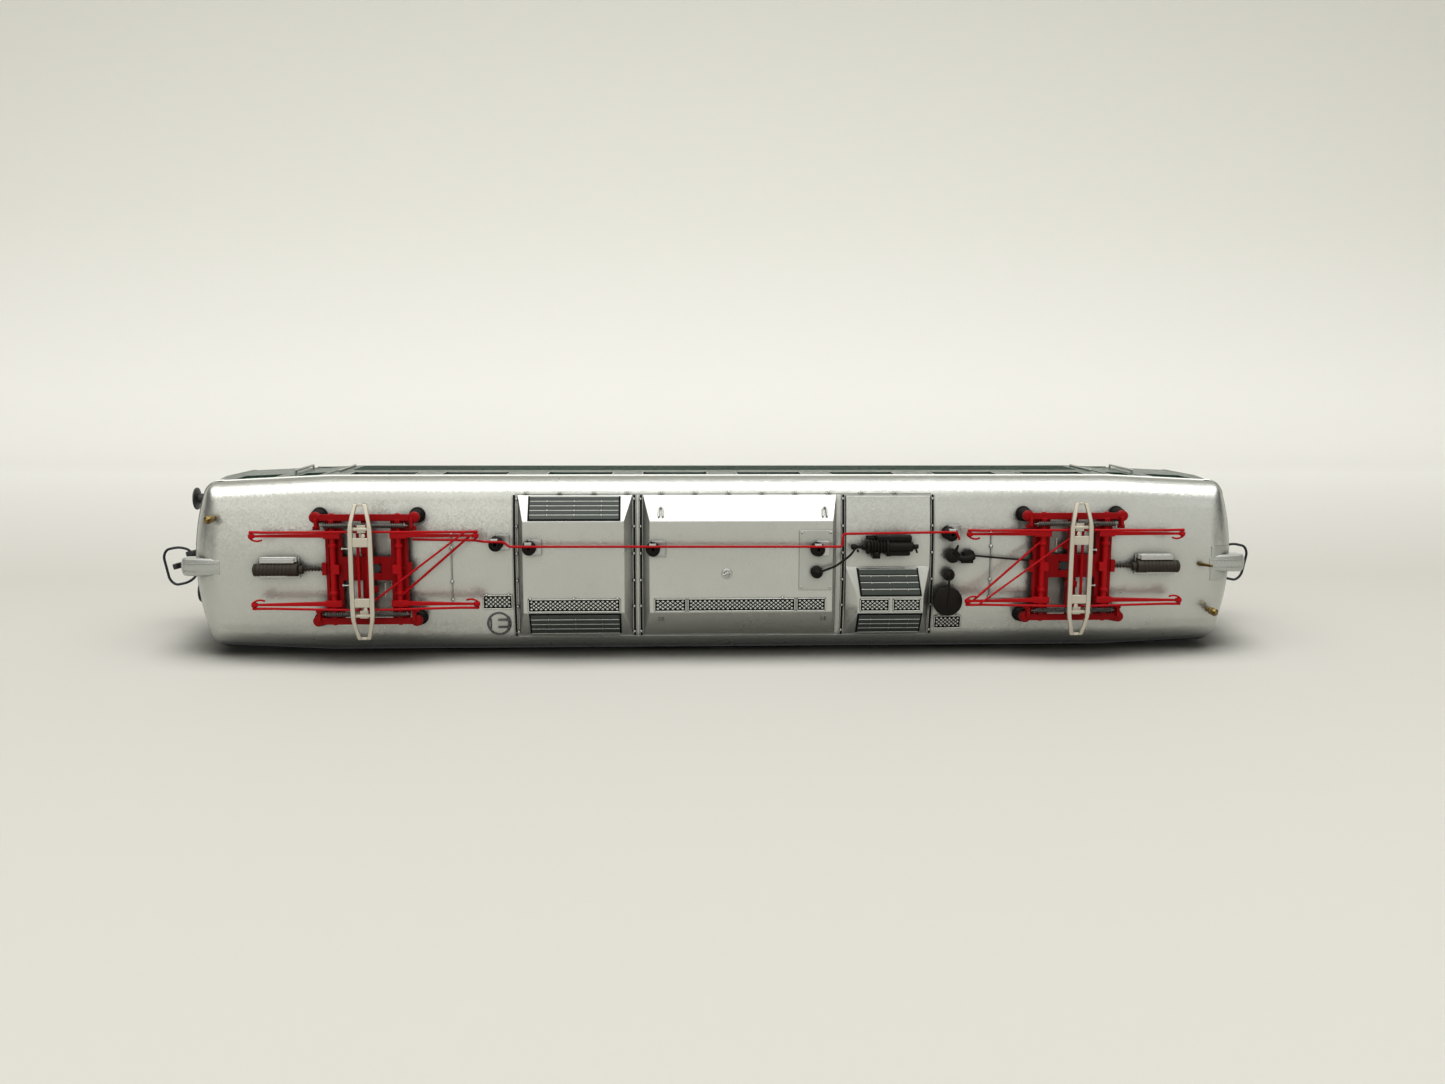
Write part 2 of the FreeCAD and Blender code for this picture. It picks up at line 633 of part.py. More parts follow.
def lower_frame(braced):
    """Main shaft with two tapered arms out to the knees, for the +X half."""
    knee_x, knee_z = knee_point()
    shaft = fuse([
        rod(SHAFT_R, (SHAFT_X, -7.8, PIVOT_Z), (SHAFT_X, 7.8, PIVOT_Z)),
        rod(JOURNAL_R, (SHAFT_X, -10.8, PIVOT_Z), (SHAFT_X, 10.8, PIVOT_Z)),
    ])
    half_y = 0.35
    outline = [
        (SHAFT_X - 0.5, PIVOT_Z - 0.5), (SHAFT_X, PIVOT_Z - 0.55), (knee_x, knee_z - 0.3),
        (knee_x, knee_z + 0.28), (SHAFT_X, PIVOT_Z + 0.6), (SHAFT_X - 0.5, PIVOT_Z + 0.5),
    ]
    arm = fuse([
        side_prism(outline, LOWER_ARM_Y - half_y, LOWER_ARM_Y + half_y),
        rod(EYE_R, (knee_x, LOWER_ARM_Y - half_y, knee_z), (knee_x, LOWER_ARM_Y + half_y, knee_z)),
        rod(0.8, (SHAFT_X, LOWER_ARM_Y - 0.5, PIVOT_Z), (SHAFT_X, LOWER_ARM_Y + 0.5, PIVOT_Z)),
    ])
    pieces = [shaft] + both_sides(arm)
    if braced:
        pieces.append(rod(ARM_WIRE_R, (SHAFT_X, -5.2, PIVOT_Z), (knee_x - 1.2, LOWER_ARM_Y, knee_z - 0.1)))
    bore = rod(KNEE_PIN_R + RUNNING_GAP, (knee_x, -9, knee_z), (knee_x, 9, knee_z))
    return fuse(pieces).cut(bore)


def upper_frame(braced):
    """Two thin arms from the knee pins back to the head bar, for the +X half."""
    knee_x, knee_z = knee_point()
    pin_z = head_pin_z()
    arm = fuse([
        rod(ARM_WIRE_R, (knee_x, UPPER_ARM_Y, knee_z), (HEAD_PIN_X, 7.5, pin_z)),
        rod(KNEE_PIN_R, (knee_x, LOWER_ARM_Y - 0.6, knee_z), (knee_x, UPPER_ARM_Y + 0.25, knee_z)),
        rod(0.42, (knee_x, UPPER_ARM_Y - 0.2, knee_z), (knee_x, UPPER_ARM_Y + 0.25, knee_z)),
    ])
    bar = rod(HEAD_BAR_R, (HEAD_PIN_X, -HEAD_BAR_Y, pin_z), (HEAD_PIN_X, HEAD_BAR_Y, pin_z))
    pieces = both_sides(arm) + [bar]
    if braced:
        slope = (pin_z - knee_z) / (HEAD_PIN_X - knee_x)
        near_x = knee_x - 2.0
        brace_start = (near_x, UPPER_ARM_Y, knee_z + slope * (near_x - knee_x) + 0.3)
        pieces.append(rod(0.2, brace_start, (HEAD_PIN_X, -6.4, pin_z)))
    return fuse(pieces)


def horn_bar():
    """Tapered bar from a strip down to the tip of the collector."""
    inner_x, outer_x = STRIP_X
    root = [Vec(inner_x, STRIP_Y, HEAD_Z), Vec(outer_x, STRIP_Y, HEAD_Z),
            Vec(outer_x, STRIP_Y, HEAD_Z + 0.5), Vec(inner_x, STRIP_Y, HEAD_Z + 0.5)]
    end = [Vec(0.6, HORN_Y, HEAD_Z - 0.9), Vec(1.3, HORN_Y, HEAD_Z - 0.9),
           Vec(1.3, HORN_Y, HEAD_Z - 0.4), Vec(0.6, HORN_Y, HEAD_Z - 0.4)]
    wires = [Part.makePolygon(points + points[:1]) for points in (root, end)]
    return Part.makeLoft(wires, True, True)


def collector_head():
    """Twin contact strips with cross plates, sloping horns and the two pivot brackets."""
    strip = box(STRIP_X[0], STRIP_X[1], -STRIP_Y, STRIP_Y, HEAD_Z, HEAD_Z + 0.5)
    horn = horn_bar()
    tip = box(-1.3, 1.3, HORN_Y - 0.5, HORN_Y, HEAD_Z - 0.9, HEAD_Z - 0.4)
    plate = box(-STRIP_X[0], STRIP_X[0], 4.9, 6.7, HEAD_Z + 0.05, HEAD_Z + 0.4)
    bracket = box(-1.7, 1.7, 8.0, 8.5, head_pin_z() - 0.75, HEAD_Z + 0.2)
    pieces = both_ends(strip) + four_corners(horn) + both_sides(tip) + both_sides(plate) + both_sides(bracket)
    pin_z = head_pin_z()
    bore = rod(HEAD_BAR_R + RUNNING_GAP, (-HEAD_PIN_X, -10, pin_z), (-HEAD_PIN_X, 10, pin_z))
    loose = rod(HEAD_BAR_R + 0.3, (HEAD_PIN_X, -10, pin_z), (HEAD_PIN_X, 10, pin_z))
    return cut(fuse(pieces), [bore, loose])


def pantograph_nodes():
    """Both pantographs; the one at end B is the other turned round."""
    nodes = {}
    frames = []
    springs = []
    for name, end in ENDS:
        facing = 0 if end < 0 else 180

        def placed(shape):
            return moved(turned(shape, facing), end * PANTOGRAPH_X)

        label = "pantograph_" + name
        nodes[label + "_lower_frame_1"] = placed(mirrored(lower_frame(False), X_AXIS))
        nodes[label + "_lower_frame_2"] = placed(lower_frame(True))
        nodes[label + "_upper_frame_1"] = placed(mirrored(upper_frame(False), X_AXIS))
        nodes[label + "_upper_frame_2"] = placed(upper_frame(True))
        nodes[label + "_head"] = placed(collector_head())
        frames.append(placed(base_frame()))
        springs += [placed(spring) for spring in tension_springs()]
    nodes["pantograph_base_frames"] = group(frames)
    nodes["pantograph_springs"] = group(springs)
    return nodes


# ---------------------------------------------------------------- chassis and motor
RAIL_INNER_Y = 8.8
RAIL_OUTER_Y = 12.6
DECK_Z = 16.0
DECK_TOP_Z = 21.5
BOLSTER_Z = 28.5
BOLSTER_TOP_Z = 30.4
PIVOT_BOSS_R = 2.0
MOTOR_HALF_LENGTH = 13.5
MOTOR_R = 7.2
ARMATURE_R = 5.0
SHAFT_END_X = 45.0         # end of the cardan shafts
CUP_R = 2.4
CUP_BORE_R = 2.0
FLYWHEEL_X = (15.5, 23.5)
FLYWHEEL_R = 6.9
BOARD_Z = 33.0
TANK_HALF_LENGTH = 18.5


def chassis_frame():
    """Die-cast frame: two side rails, motor cradle, bogie bolsters and end tongues."""
    rail = box(-84.0, 84.0, RAIL_INNER_Y, RAIL_OUTER_Y, DECK_Z, DECK_TOP_Z)
    cradle = box(-TANK_HALF_LENGTH, TANK_HALF_LENGTH, -RAIL_OUTER_Y, RAIL_OUTER_Y, SKIRT_Z + 0.6, 17.0)
    floor = box(-25.6, 25.6, -RAIL_OUTER_Y, RAIL_OUTER_Y, DECK_Z, 17.0)
    inner_cross = box(25.6, 29.8, -RAIL_OUTER_Y, RAIL_OUTER_Y, DECK_Z, 20.5)
    end_cross = box(81.2, 84.0, -RAIL_OUTER_Y, RAIL_OUTER_Y, DECK_Z, DECK_TOP_Z)
    tongue = box(81.2, 100.0, -5.0, 5.0, DECK_Z, 18.0)
    post = rod(1.2, (COUPLER_X, 0, 9.6), (COUPLER_X, 0, 17.0))
    pivot = rod(AXLE_R, (COUPLER_X, 0, 7.2), (COUPLER_X, 0, 10.0))
    leg = box(BOGIE_X - 3.5, BOGIE_X + 3.5, 9.4, RAIL_OUTER_Y, DECK_TOP_Z, BOLSTER_TOP_Z)
    bolster = box(BOGIE_X - 3.5, BOGIE_X + 3.5, -RAIL_OUTER_Y, RAIL_OUTER_Y, BOLSTER_Z, BOLSTER_TOP_Z)
    board_post = rod(1.4, (31.0, 10.8, DECK_TOP_Z), (31.0, 10.8, BOARD_Z))
    saddle = box(-9.0, 9.0, -7.0, 7.0, 17.0, 18.6).cut(rod(MOTOR_R, (-20, 0, DRIVE_Z), (20, 0, DRIVE_Z)))
    pieces = both_sides(rail) + [cradle, floor, saddle] + four_corners(leg) + four_corners(board_post)
    for part in (inner_cross, end_cross, tongue, post, pivot, bolster):
        pieces += both_ends(part)
    tools = both_ends(rod(PIVOT_BOSS_R + RUNNING_GAP, (BOGIE_X, 0, 25.0), (BOGIE_X, 0, 32.0)))
    tools += both_ends(rod(0.9, (98.0, 0, 15.0), (98.0, 0, 19.0)))
    tools += four_corners(rod(SCREW_R, (31.0, 10.8, BOARD_Z - 4.0), (31.0, 10.8, BOARD_Z + 1.0)))
    return cut(fuse(pieces), tools)


SCREW_R = 0.6
SCREW_HEAD_R = 1.3
DISPLAY_HOLE_R = 1.25
DISPLAY_HOLE_DEPTH = 5.0


def screws():
    """Two body screws from below and four board screws from above."""
    body = fuse([
        rod(SCREW_R, (98.0, 0, DECK_Z), (98.0, 0, 21.0)),
        rod(SCREW_HEAD_R, (98.0, 0, DECK_Z - 1.0), (98.0, 0, DECK_Z)),
    ]).cut(box(96.0, 100.0, -0.15, 0.15, DECK_Z - 1.2, DECK_Z - 0.5))
    head_z = BOARD_Z + 1.0
    board = fuse([
        rod(SCREW_R, (31.0, 10.8, BOARD_Z - 3.5), (31.0, 10.8, head_z)),
        rod(SCREW_HEAD_R, (31.0, 10.8, head_z), (31.0, 10.8, head_z + 0.8)),
    ]).cut(box(29.0, 33.0, 10.65, 10.95, head_z + 0.4, head_z + 1.0))
    return group(both_ends(body) + four_corners(board))


def circuit_board():
    """Board above the motor with its chips, plug and blanking bars."""
    board = box(-44.0, 44.0, -12.2, 12.2, BOARD_Z, BOARD_Z + 1.0)
    board = cut(board, four_corners(rod(SCREW_R + 0.1, (31.0, 10.8, 32.0), (31.0, 10.8, 35.0))))
    top = BOARD_Z + 1.0
    parts = [box(x - 2.0, x + 2.0, y - 1.6, y + 1.6, top, top + 1.2) for x in (-20, -8, 8) for y in (-5, 5)]
    parts.append(box(14.0, 24.0, -3.5, 3.5, top, top + 2.5))
    parts += [rod(0.5, (x, -2.5, top + 0.5), (x, 2.5, top + 0.5)) for x in (-34.0, -31.0, 33.0, 36.0)]
    return group([board] + parts)


def underfloor_tanks():
    """Transformer tank between the bogies, with a blind hole for a display screw."""
    width = 14.4
    outline = [(width, SKIRT_Z + 0.6), (width, 7.0), (width - 2.0, 4.6)]
    outline += [(-y, z) for y, z in reversed(outline)]
    tank = prism([(-TANK_HALF_LENGTH, y, z) for y, z in outline], (2 * TANK_HALF_LENGTH, 0, 0))
    groove = box(5.0, 6.2, -20, 20, 0, 9.5)
    tank = tank.cut(groove).cut(mirrored(groove, X_AXIS))
    return tank.cut(rod(DISPLAY_HOLE_R, (0, 0, 4.0), (0, 0, 4.6 + DISPLAY_HOLE_DEPTH)))


def motor_can():
    """Cylindrical motor housing with end bearings and two magnets."""
    half = MOTOR_HALF_LENGTH
    can = rod(MOTOR_R, (-half, 0, DRIVE_Z), (half, 0, DRIVE_Z))
    can = can.cut(rod(MOTOR_R - 0.7, (0.8 - half, 0, DRIVE_Z), (half - 0.8, 0, DRIVE_Z)))
    can = can.cut(rod(AXLE_R + RUNNING_GAP, (-half - 1, 0, DRIVE_Z), (half + 1, 0, DRIVE_Z)))
    sleeve = rod(MOTOR_R - 0.7, (-8.0, 0, DRIVE_Z), (8.0, 0, DRIVE_Z))
    sleeve = sleeve.cut(rod(ARMATURE_R + 0.3, (-9.0, 0, DRIVE_Z), (9.0, 0, DRIVE_Z)))
    magnet = sleeve.common(box(-9.0, 9.0, 1.5, 10.0, 10.0, 40.0))
    return group([can] + both_sides(magnet))


def motor_rotor():
    """Armature, commutator and shaft, with a cardan cup at each end."""
    armature = rod(ARMATURE_R, (-7.5, 0, DRIVE_Z), (7.5, 0, DRIVE_Z))
    slot = box(-8.0, 8.0, -0.5, 0.5, DRIVE_Z + 2.2, DRIVE_Z + 6.0)
    slots = [turned(slot, 72.0 * pole, X_AXIS, Vec(0, 0, DRIVE_Z)) for pole in range(5)]
    shaft = rod(AXLE_R, (-SHAFT_END_X, 0, DRIVE_Z), (SHAFT_END_X, 0, DRIVE_Z))
    commutator = rod(2.2, (8.6, 0, DRIVE_Z), (11.4, 0, DRIVE_Z))
    cup = rod(CUP_R, (SHAFT_END_X - 0.8, 0, DRIVE_Z), (SHAFT_END_X + 2.0, 0, DRIVE_Z))
    cup = cup.cut(rod(CUP_BORE_R, (SHAFT_END_X, 0, DRIVE_Z), (SHAFT_END_X + 3.0, 0, DRIVE_Z)))
    return fuse([cut(armature, slots), shaft, commutator] + both_ends(cup))


def flywheels():
    inner_x, outer_x = FLYWHEEL_X
    wheel = rod(FLYWHEEL_R, (inner_x, 0, DRIVE_Z), (outer_x, 0, DRIVE_Z))
    wheel = wheel.cut(rod(AXLE_R, (inner_x - 1, 0, DRIVE_Z), (outer_x + 1, 0, DRIVE_Z)))
    return group(both_ends(wheel))


# ---------------------------------------------------------------- gears
TOOTH_LEVELS = ((-1.2, 0.60), (0.0, 0.54), (0.95, 0.30))   # height in modules, thickness in mm


def gear(teeth, centre, phase, bore_r):
    """Spur gear with flat-sided teeth and a many-sided bore, its axis along Y."""
    centre_x, centre_z = centre
    pitch_r = GEAR_MODULE * teeth / 2
    levels = [(pitch_r + height * GEAR_MODULE, thickness) for height, thickness in TOOTH_LEVELS]
    outline = []
    for tooth in range(teeth):
        middle = phase + 2 * math.pi * tooth / teeth
        for side, flank in ((-1, levels), (1, levels[::-1])):
            for radius, thickness in flank:
                angle = middle + side * thickness / (2 * radius)
                outline.append((centre_x + radius * math.cos(angle), centre_z + radius * math.sin(angle)))
    half = GEAR_WIDTH / 2
    return side_prism(outline, -half, half).cut(polygon_bore(centre, bore_r, 16))


def polygon_bore(centre, radius, sides):
    """Many-sided prism along Y whose flats lie at the given radius."""
    corner_r = radius / math.cos(math.pi / sides)
    angles = [2 * math.pi * side / sides for side in range(sides)]
    outline = [(centre[0] + corner_r * math.cos(a), centre[1] + corner_r * math.sin(a)) for a in angles]
    return side_prism(outline, -20.0, 20.0)


def idler_centre(side):
    """Centre of the idler between the worm wheel and an outer axle, taken on its upper side."""
    from_wheel = GEAR_MODULE * (WORM_WHEEL_TEETH + IDLER_TEETH) / 2
    from_axle = GEAR_MODULE * (IDLER_TEETH + AXLE_GEAR_TEETH) / 2
    run = AXLE_X
    rise = WHEEL_R - WORM_WHEEL_Z
    span = math.hypot(run, rise)
    along = (from_wheel ** 2 - from_axle ** 2 + span ** 2) / (2 * span)
    above = math.sqrt(from_wheel ** 2 - along ** 2)
    x = (along * run - above * rise) / span
    z = WORM_WHEEL_Z + (along * rise + above * run) / span
    return side * x, z


def meshed_phase(first_centre, first_teeth, first_phase, centre, teeth):
    """Tooth angle of a gear that meshes with the first one."""
    line = math.atan2(centre[1] - first_centre[1], centre[0] - first_centre[0])
    return line + math.pi + (line - first_phase) * first_teeth / teeth - math.pi / teeth


WORM_CENTRE = (0.0, WORM_WHEEL_Z)
WORM_WHEEL_PHASE = math.pi / 2


def idler_phase(side):
    return meshed_phase(WORM_CENTRE, WORM_WHEEL_TEETH, WORM_WHEEL_PHASE, idler_centre(side), IDLER_TEETH)


def axle_gear_phase(side):
    centre = (side * AXLE_X, WHEEL_R)
    return meshed_phase(idler_centre(side), IDLER_TEETH, idler_phase(side), centre, AXLE_GEAR_TEETH)


THREAD_STEPS = 18
THREAD_ROOT = (1.35, 0.30)     # radius and half width of the thread at its root
THREAD_CREST = (2.35, 0.12)
WORM_CORE_R = 1.5
WORM_HALF_LENGTH = 3.6


def thread_ring(turn, pitch):
    """Four corners of the thread's section, a number of turns along the right-handed helix."""
    angle = 2 * math.pi * turn
    middle_x = pitch * (turn + 0.75)
    corners = []
    for (radius, half), side in ((THREAD_ROOT, -1), (THREAD_CREST, -1), (THREAD_CREST, 1), (THREAD_ROOT, 1)):
        y = radius * math.cos(angle)
        z = DRIVE_Z + radius * math.sin(angle)
        corners.append(Vec(middle_x + side * half, y, z))
    return corners


def triangle(a, b, c):
    return Part.Face(Part.makePolygon([a, b, c, a]))


def worm_thread():
    """Single-start right-handed thread, built from flat triangles."""
    pitch = math.pi * GEAR_MODULE
    first = -WORM_HALF_LENGTH / pitch - 0.75
    count = round(2 * WORM_HALF_LENGTH / pitch * THREAD_STEPS)
    rings = [thread_ring(first + step / THREAD_STEPS, pitch) for step in range(count + 1)]
    faces = []
    for near, far in zip(rings, rings[1:]):
        for corner in range(4):
            following = (corner + 1) % 4
            faces.append(triangle(near[corner], near[following], far[following]))
            faces.append(triangle(near[corner], far[following], far[corner]))
    for cap in (rings[0], rings[-1]):
        faces += [triangle(cap[0], cap[1], cap[2]), triangle(cap[0], cap[2], cap[3])]
    shell = Part.makeShell(faces)
    shell.sewShape()
    thread = Part.makeSolid(shell)
    if thread.Volume < 0:
        thread.reverse()
    return thread


def worm_shaft():
    """Worm on its shaft, with the ball that the cardan cup takes, for bogie A."""
    core = turned(polygon_bore((0, 0), WORM_CORE_R, THREAD_STEPS), 90.0)
    core = moved(core.common(box(-5.0, 5.0, -5, 5, -5, 5)), z=DRIVE_Z)
    worm = core.fuse(worm_thread())
    worm = worm.cut(rod(AXLE_R, (-9.0, 0, DRIVE_Z), (9.0, 0, DRIVE_Z)))
    shaft = fuse([
        rod(AXLE_R, (-8.3, 0, DRIVE_Z), (8.2, 0, DRIVE_Z)),
        rod(0.45, (8.0, 0, DRIVE_Z), (9.1, 0, DRIVE_Z)),
        Part.makeSphere(0.65, Vec(9.1, 0, DRIVE_Z)),
    ])
    return group([worm, shaft])


# ---------------------------------------------------------------- bogies
BOX_HALF_WIDTH = 3.6
POCKET_HALF_WIDTH = 1.3
TOWER_HALF_WIDTH = 4.2
BOX_BOTTOM_Z = 2.2
BOX_END_X = 32.0
TOWER_X = 8.0
TOWER_TOP_Z = 27.9
KEEPER_Z = 1.4
FRAME_INNER_Y = 11.4
FRAME_OUTER_Y = 13.2


def gearbox():
    """Gearbox housing: gear pocket open below, worm tower and pivot boss above."""
    outline = [
        (BOX_END_X, BOX_BOTTOM_Z), (BOX_END_X, 12.5), (25.0, 14.0), (24.0, 18.5), (19.5, 21.9),
        (TOWER_X, 21.9), (TOWER_X, TOWER_TOP_Z),
    ]
    outline += [(-x, z) for x, z in reversed(outline)]
    pocket = [
        (BOX_END_X - 1.0, BOX_BOTTOM_Z - 1.0), (BOX_END_X - 1.0, 11.7), (24.2, 13.2), (23.2, 18.0),
        (19.0, 21.3), (7.4, 21.3), (6.5, 24.6),
    ]
    pocket += [(-x, z) for x, z in reversed(pocket)]
    width = BOX_HALF_WIDTH
    tower = box(-TOWER_X, TOWER_X, -TOWER_HALF_WIDTH, TOWER_HALF_WIDTH, 21.0, TOWER_TOP_Z)
    boss = rod(PIVOT_BOSS_R, (0, 0, TOWER_TOP_Z - 0.5), (0, 0, BOLSTER_TOP_Z))
    housing = fuse([side_prism(outline, -width, width), tower, boss])
    tools = [
        side_prism(pocket, -POCKET_HALF_WIDTH, POCKET_HALF_WIDTH),
        box(-6.5, 6.5, -3.0, 3.0, 21.6, TOWER_TOP_Z - 0.7),
        rod(AXLE_R + RUNNING_GAP, (-9.0, 0, DRIVE_Z), (9.0, 0, DRIVE_Z)),
    ]
    for axle_x in (-AXLE_X, 0.0, AXLE_X):
        bore_r = AXLE_R + RUNNING_GAP
        tools.append(rod(bore_r, (axle_x, -6, WHEEL_R), (axle_x, 6, WHEEL_R)))
        tools.append(box(axle_x - bore_r, axle_x + bore_r, -6, 6, 0, WHEEL_R))
    tools += [pin_rod(centre, PIN_R, 6.0) for centre in pin_centres()]
    return cut(housing, tools)


def pin_centres():
    return [WORM_CENTRE, idler_centre(-1), idler_centre(1)]


def pin_rod(centre, radius, half):
    return rod(radius, (centre[0], -half, centre[1]), (centre[0], half, centre[1]))


def gear_pins():
    return group(pin_rod(centre, PIN_R, BOX_HALF_WIDTH) for centre in pin_centres())


def keeper_plate():
    """Bottom cover of the gearbox, with saddles that hold the axles up."""
    pieces = [box(-BOX_END_X, BOX_END_X, -BOX_HALF_WIDTH, BOX_HALF_WIDTH, KEEPER_Z, BOX_BOTTOM_Z)]
    saddle_top = WHEEL_R - AXLE_R - RUNNING_GAP
    for axle_x in (-AXLE_X, 0.0, AXLE_X):
        for side in SIDES:
            near, far = sorted((side * (POCKET_HALF_WIDTH + 0.1), side * (BOX_HALF_WIDTH - 0.1)))
            pieces.append(box(axle_x - 1.0, axle_x + 1.0, near, far, BOX_BOTTOM_Z, saddle_top))
    return fuse(pieces)


def side_frames():
    """Outer side frames with axle boxes, springs and the stubs that clip to the gearbox."""
    top = 11.4
    outline = [
        (33.0, 6.0), (33.0, 9.0), (29.0, top), (-29.0, top), (-33.0, 9.0), (-33.0, 6.0), (-29.0, 4.6),
        (-21.0, 4.6), (-17.0, 7.4), (-9.0, 7.4), (-5.0, 4.6), (5.0, 4.6), (9.0, 7.4), (17.0, 7.4),
        (21.0, 4.6), (29.0, 4.6),
    ]
    pieces = [side_prism(outline, FRAME_INNER_Y, FRAME_OUTER_Y)]
    for axle_x in (-AXLE_X, 0.0, AXLE_X):
        pieces.append(rod(2.2, (axle_x, FRAME_INNER_Y, WHEEL_R), (axle_x, FRAME_OUTER_Y + 0.8, WHEEL_R)))
        for spring_x in (axle_x - 3.4, axle_x + 3.4):
            pieces.append(rod(1.0, (spring_x, 12.9, 5.2), (spring_x, 12.9, 10.4)))
    for stub_x in (-12.8, 12.8):
        pieces.append(box(stub_x - 1.3, stub_x + 1.3, BOX_HALF_WIDTH, FRAME_INNER_Y + 0.5, 8.0, 10.0))
    return group(both_sides(fuse(pieces)))


def wheel(side):
    """Wheel with tread, flange and a dished face, bored for the axle."""
    inner = BACK_TO_BACK / 2
    outer = inner + WHEEL_WIDTH
    outline = [
        (AXLE_R, inner), (FLANGE_R - 0.3, inner), (FLANGE_R, inner + 0.3), (FLANGE_R - 0.4, inner + 0.6),
        (WHEEL_R, inner + 0.9), (WHEEL_R - 0.06, outer), (WHEEL_R - 1.3, outer), (WHEEL_R - 1.6, outer - 0.5),
        (2.6, outer - 0.8), (2.3, outer), (AXLE_R, outer),
    ]
    points = [Vec(radius, side * y, 0) for radius, y in outline]
    return Part.Face(Part.makePolygon(points + points[:1])).revolve(ORIGIN, Y_AXIS, 360)


def wheelset(position):
    """Axle with two wheels, and a gear on the outer axles, for bogie A."""
    end_y = BACK_TO_BACK / 2 + WHEEL_WIDTH + 0.4
    axle = rod(AXLE_R, (0, -end_y, 0), (0, end_y, 0))
    solids = [moved(shape, position * AXLE_X, z=WHEEL_R) for shape in (axle, wheel(-1), wheel(1))]
    if position:
        centre = (position * AXLE_X, WHEEL_R)
        blank = gear(AXLE_GEAR_TEETH, centre, axle_gear_phase(position), AXLE_R)
        solids.append(blank)
    return group(solids)


def bogie_nodes():
    """Both bogies; the one at end B is the other turned round."""
    drawn = {
        "gearbox": gearbox(),
        "gear_pins": gear_pins(),
        "keeper_plate": keeper_plate(),
        "side_frames": side_frames(),
        "worm_shaft": worm_shaft(),
        "worm_wheel": gear(WORM_WHEEL_TEETH, WORM_CENTRE, WORM_WHEEL_PHASE, PIN_R + RUNNING_GAP),
        "idler_1": gear(IDLER_TEETH, idler_centre(-1), idler_phase(-1), PIN_R + RUNNING_GAP),
        "idler_2": gear(IDLER_TEETH, idler_centre(1), idler_phase(1), PIN_R + RUNNING_GAP),
        "wheelset_1": wheelset(-1),
        "wheelset_2": wheelset(0),
        "wheelset_3": wheelset(1),
    }
    nodes = {}
    for name, end in ENDS:
        for piece, shape in drawn.items():
            facing = 0 if end < 0 else 180
            nodes["bogie_" + name + "_" + piece] = moved(turned(shape, facing), end * BOGIE_X)
    return nodes


# ---------------------------------------------------------------- buffers and couplings
SHANK_HALF_WIDTH = 1.2
LOOP_R = 0.28
LOOP_HALF_WIDTH = 4.0
LOOP_REACH = 6.0


def buffers():
    """Four side buffers: sleeve, plunger and round head."""
    buffer = fuse([
        rod(2.3, (BEAM_X, BUFFER_Y, BUFFER_Z), (BEAM_X + 0.6, BUFFER_Y, BUFFER_Z)),
        rod(1.55, (BEAM_X, BUFFER_Y, BUFFER_Z), (BEAM_X + 4.0, BUFFER_Y, BUFFER_Z)),
        rod(1.1, (BEAM_X, BUFFER_Y, BUFFER_Z), (BUFFER_FACE_X - 0.4, BUFFER_Y, BUFFER_Z)),
        rod(2.4, (BUFFER_FACE_X - 0.8, BUFFER_Y, BUFFER_Z), (BUFFER_FACE_X, BUFFER_Y, BUFFER_Z)),
    ])
    return group(four_corners(buffer))


def coupler_head():
    """Coupling shank with its pivot eye, and the head that carries loop and hook, pointing +X."""
    low = COUPLER_Z - 0.7
    high = COUPLER_Z + 0.7
    hinge_x = LOOP_HINGE_X
    head = box(hinge_x - 1.8, hinge_x + 1.4, -2.6, 2.6, COUPLER_Z - 1.4, COUPLER_Z + 1.2)
    hook = side_prism([
        (hinge_x + 1.0, COUPLER_Z - 0.8), (hinge_x + 4.4, COUPLER_Z - 0.8), (hinge_x + 4.4, COUPLER_Z + 1.3),
        (hinge_x + 3.6, COUPLER_Z + 1.3), (hinge_x + 3.0, COUPLER_Z + 0.4), (hinge_x + 1.0, COUPLER_Z + 0.4),
    ], -0.6, 0.6)
    pieces = [
        rod(2.0, (0, 0, low), (0, 0, high)),
        box(0, hinge_x, -SHANK_HALF_WIDTH, SHANK_HALF_WIDTH, low, high),
        head,
        hook,
    ]
    tools = [
        rod(AXLE_R + RUNNING_GAP, (0, 0, low - 1), (0, 0, high + 1)),
        rod(LOOP_R + RUNNING_GAP, (hinge_x, -4, COUPLER_Z + 0.6), (hinge_x, 4, COUPLER_Z + 0.6)),
    ]
    return cut(fuse(pieces), tools)


def coupler_loop():
    """Wire loop on its hinge bar, pointing +X."""
    hinge_x = LOOP_HINGE_X
    z = COUPLER_Z + 0.6
    half = LOOP_HALF_WIDTH
    tip_x = hinge_x + LOOP_REACH
    points = [
        (hinge_x, 0, z), (hinge_x, 2.9, z), (hinge_x + 2.2, half, z), (tip_x - 1.0, half, z),
        (tip_x, half - 1.4, z), (tip_x, 1.4 - half, z), (tip_x - 1.0, -half, z),
        (hinge_x + 2.2, -half, z), (hinge_x, -2.9, z), (hinge_x, 0, z),
    ]
    return bent_wire(LOOP_R, points)


def coupler_nodes():
    nodes = {}
    for name, end in ENDS:
        heading = -COUPLER_SWING if end > 0 else 180 + COUPLER_SWING
        for piece, shape in (("head", coupler_head()), ("loop", coupler_loop())):
            nodes["coupler_" + name + "_" + piece] = moved(turned(shape, heading), end * COUPLER_X)
    return nodes


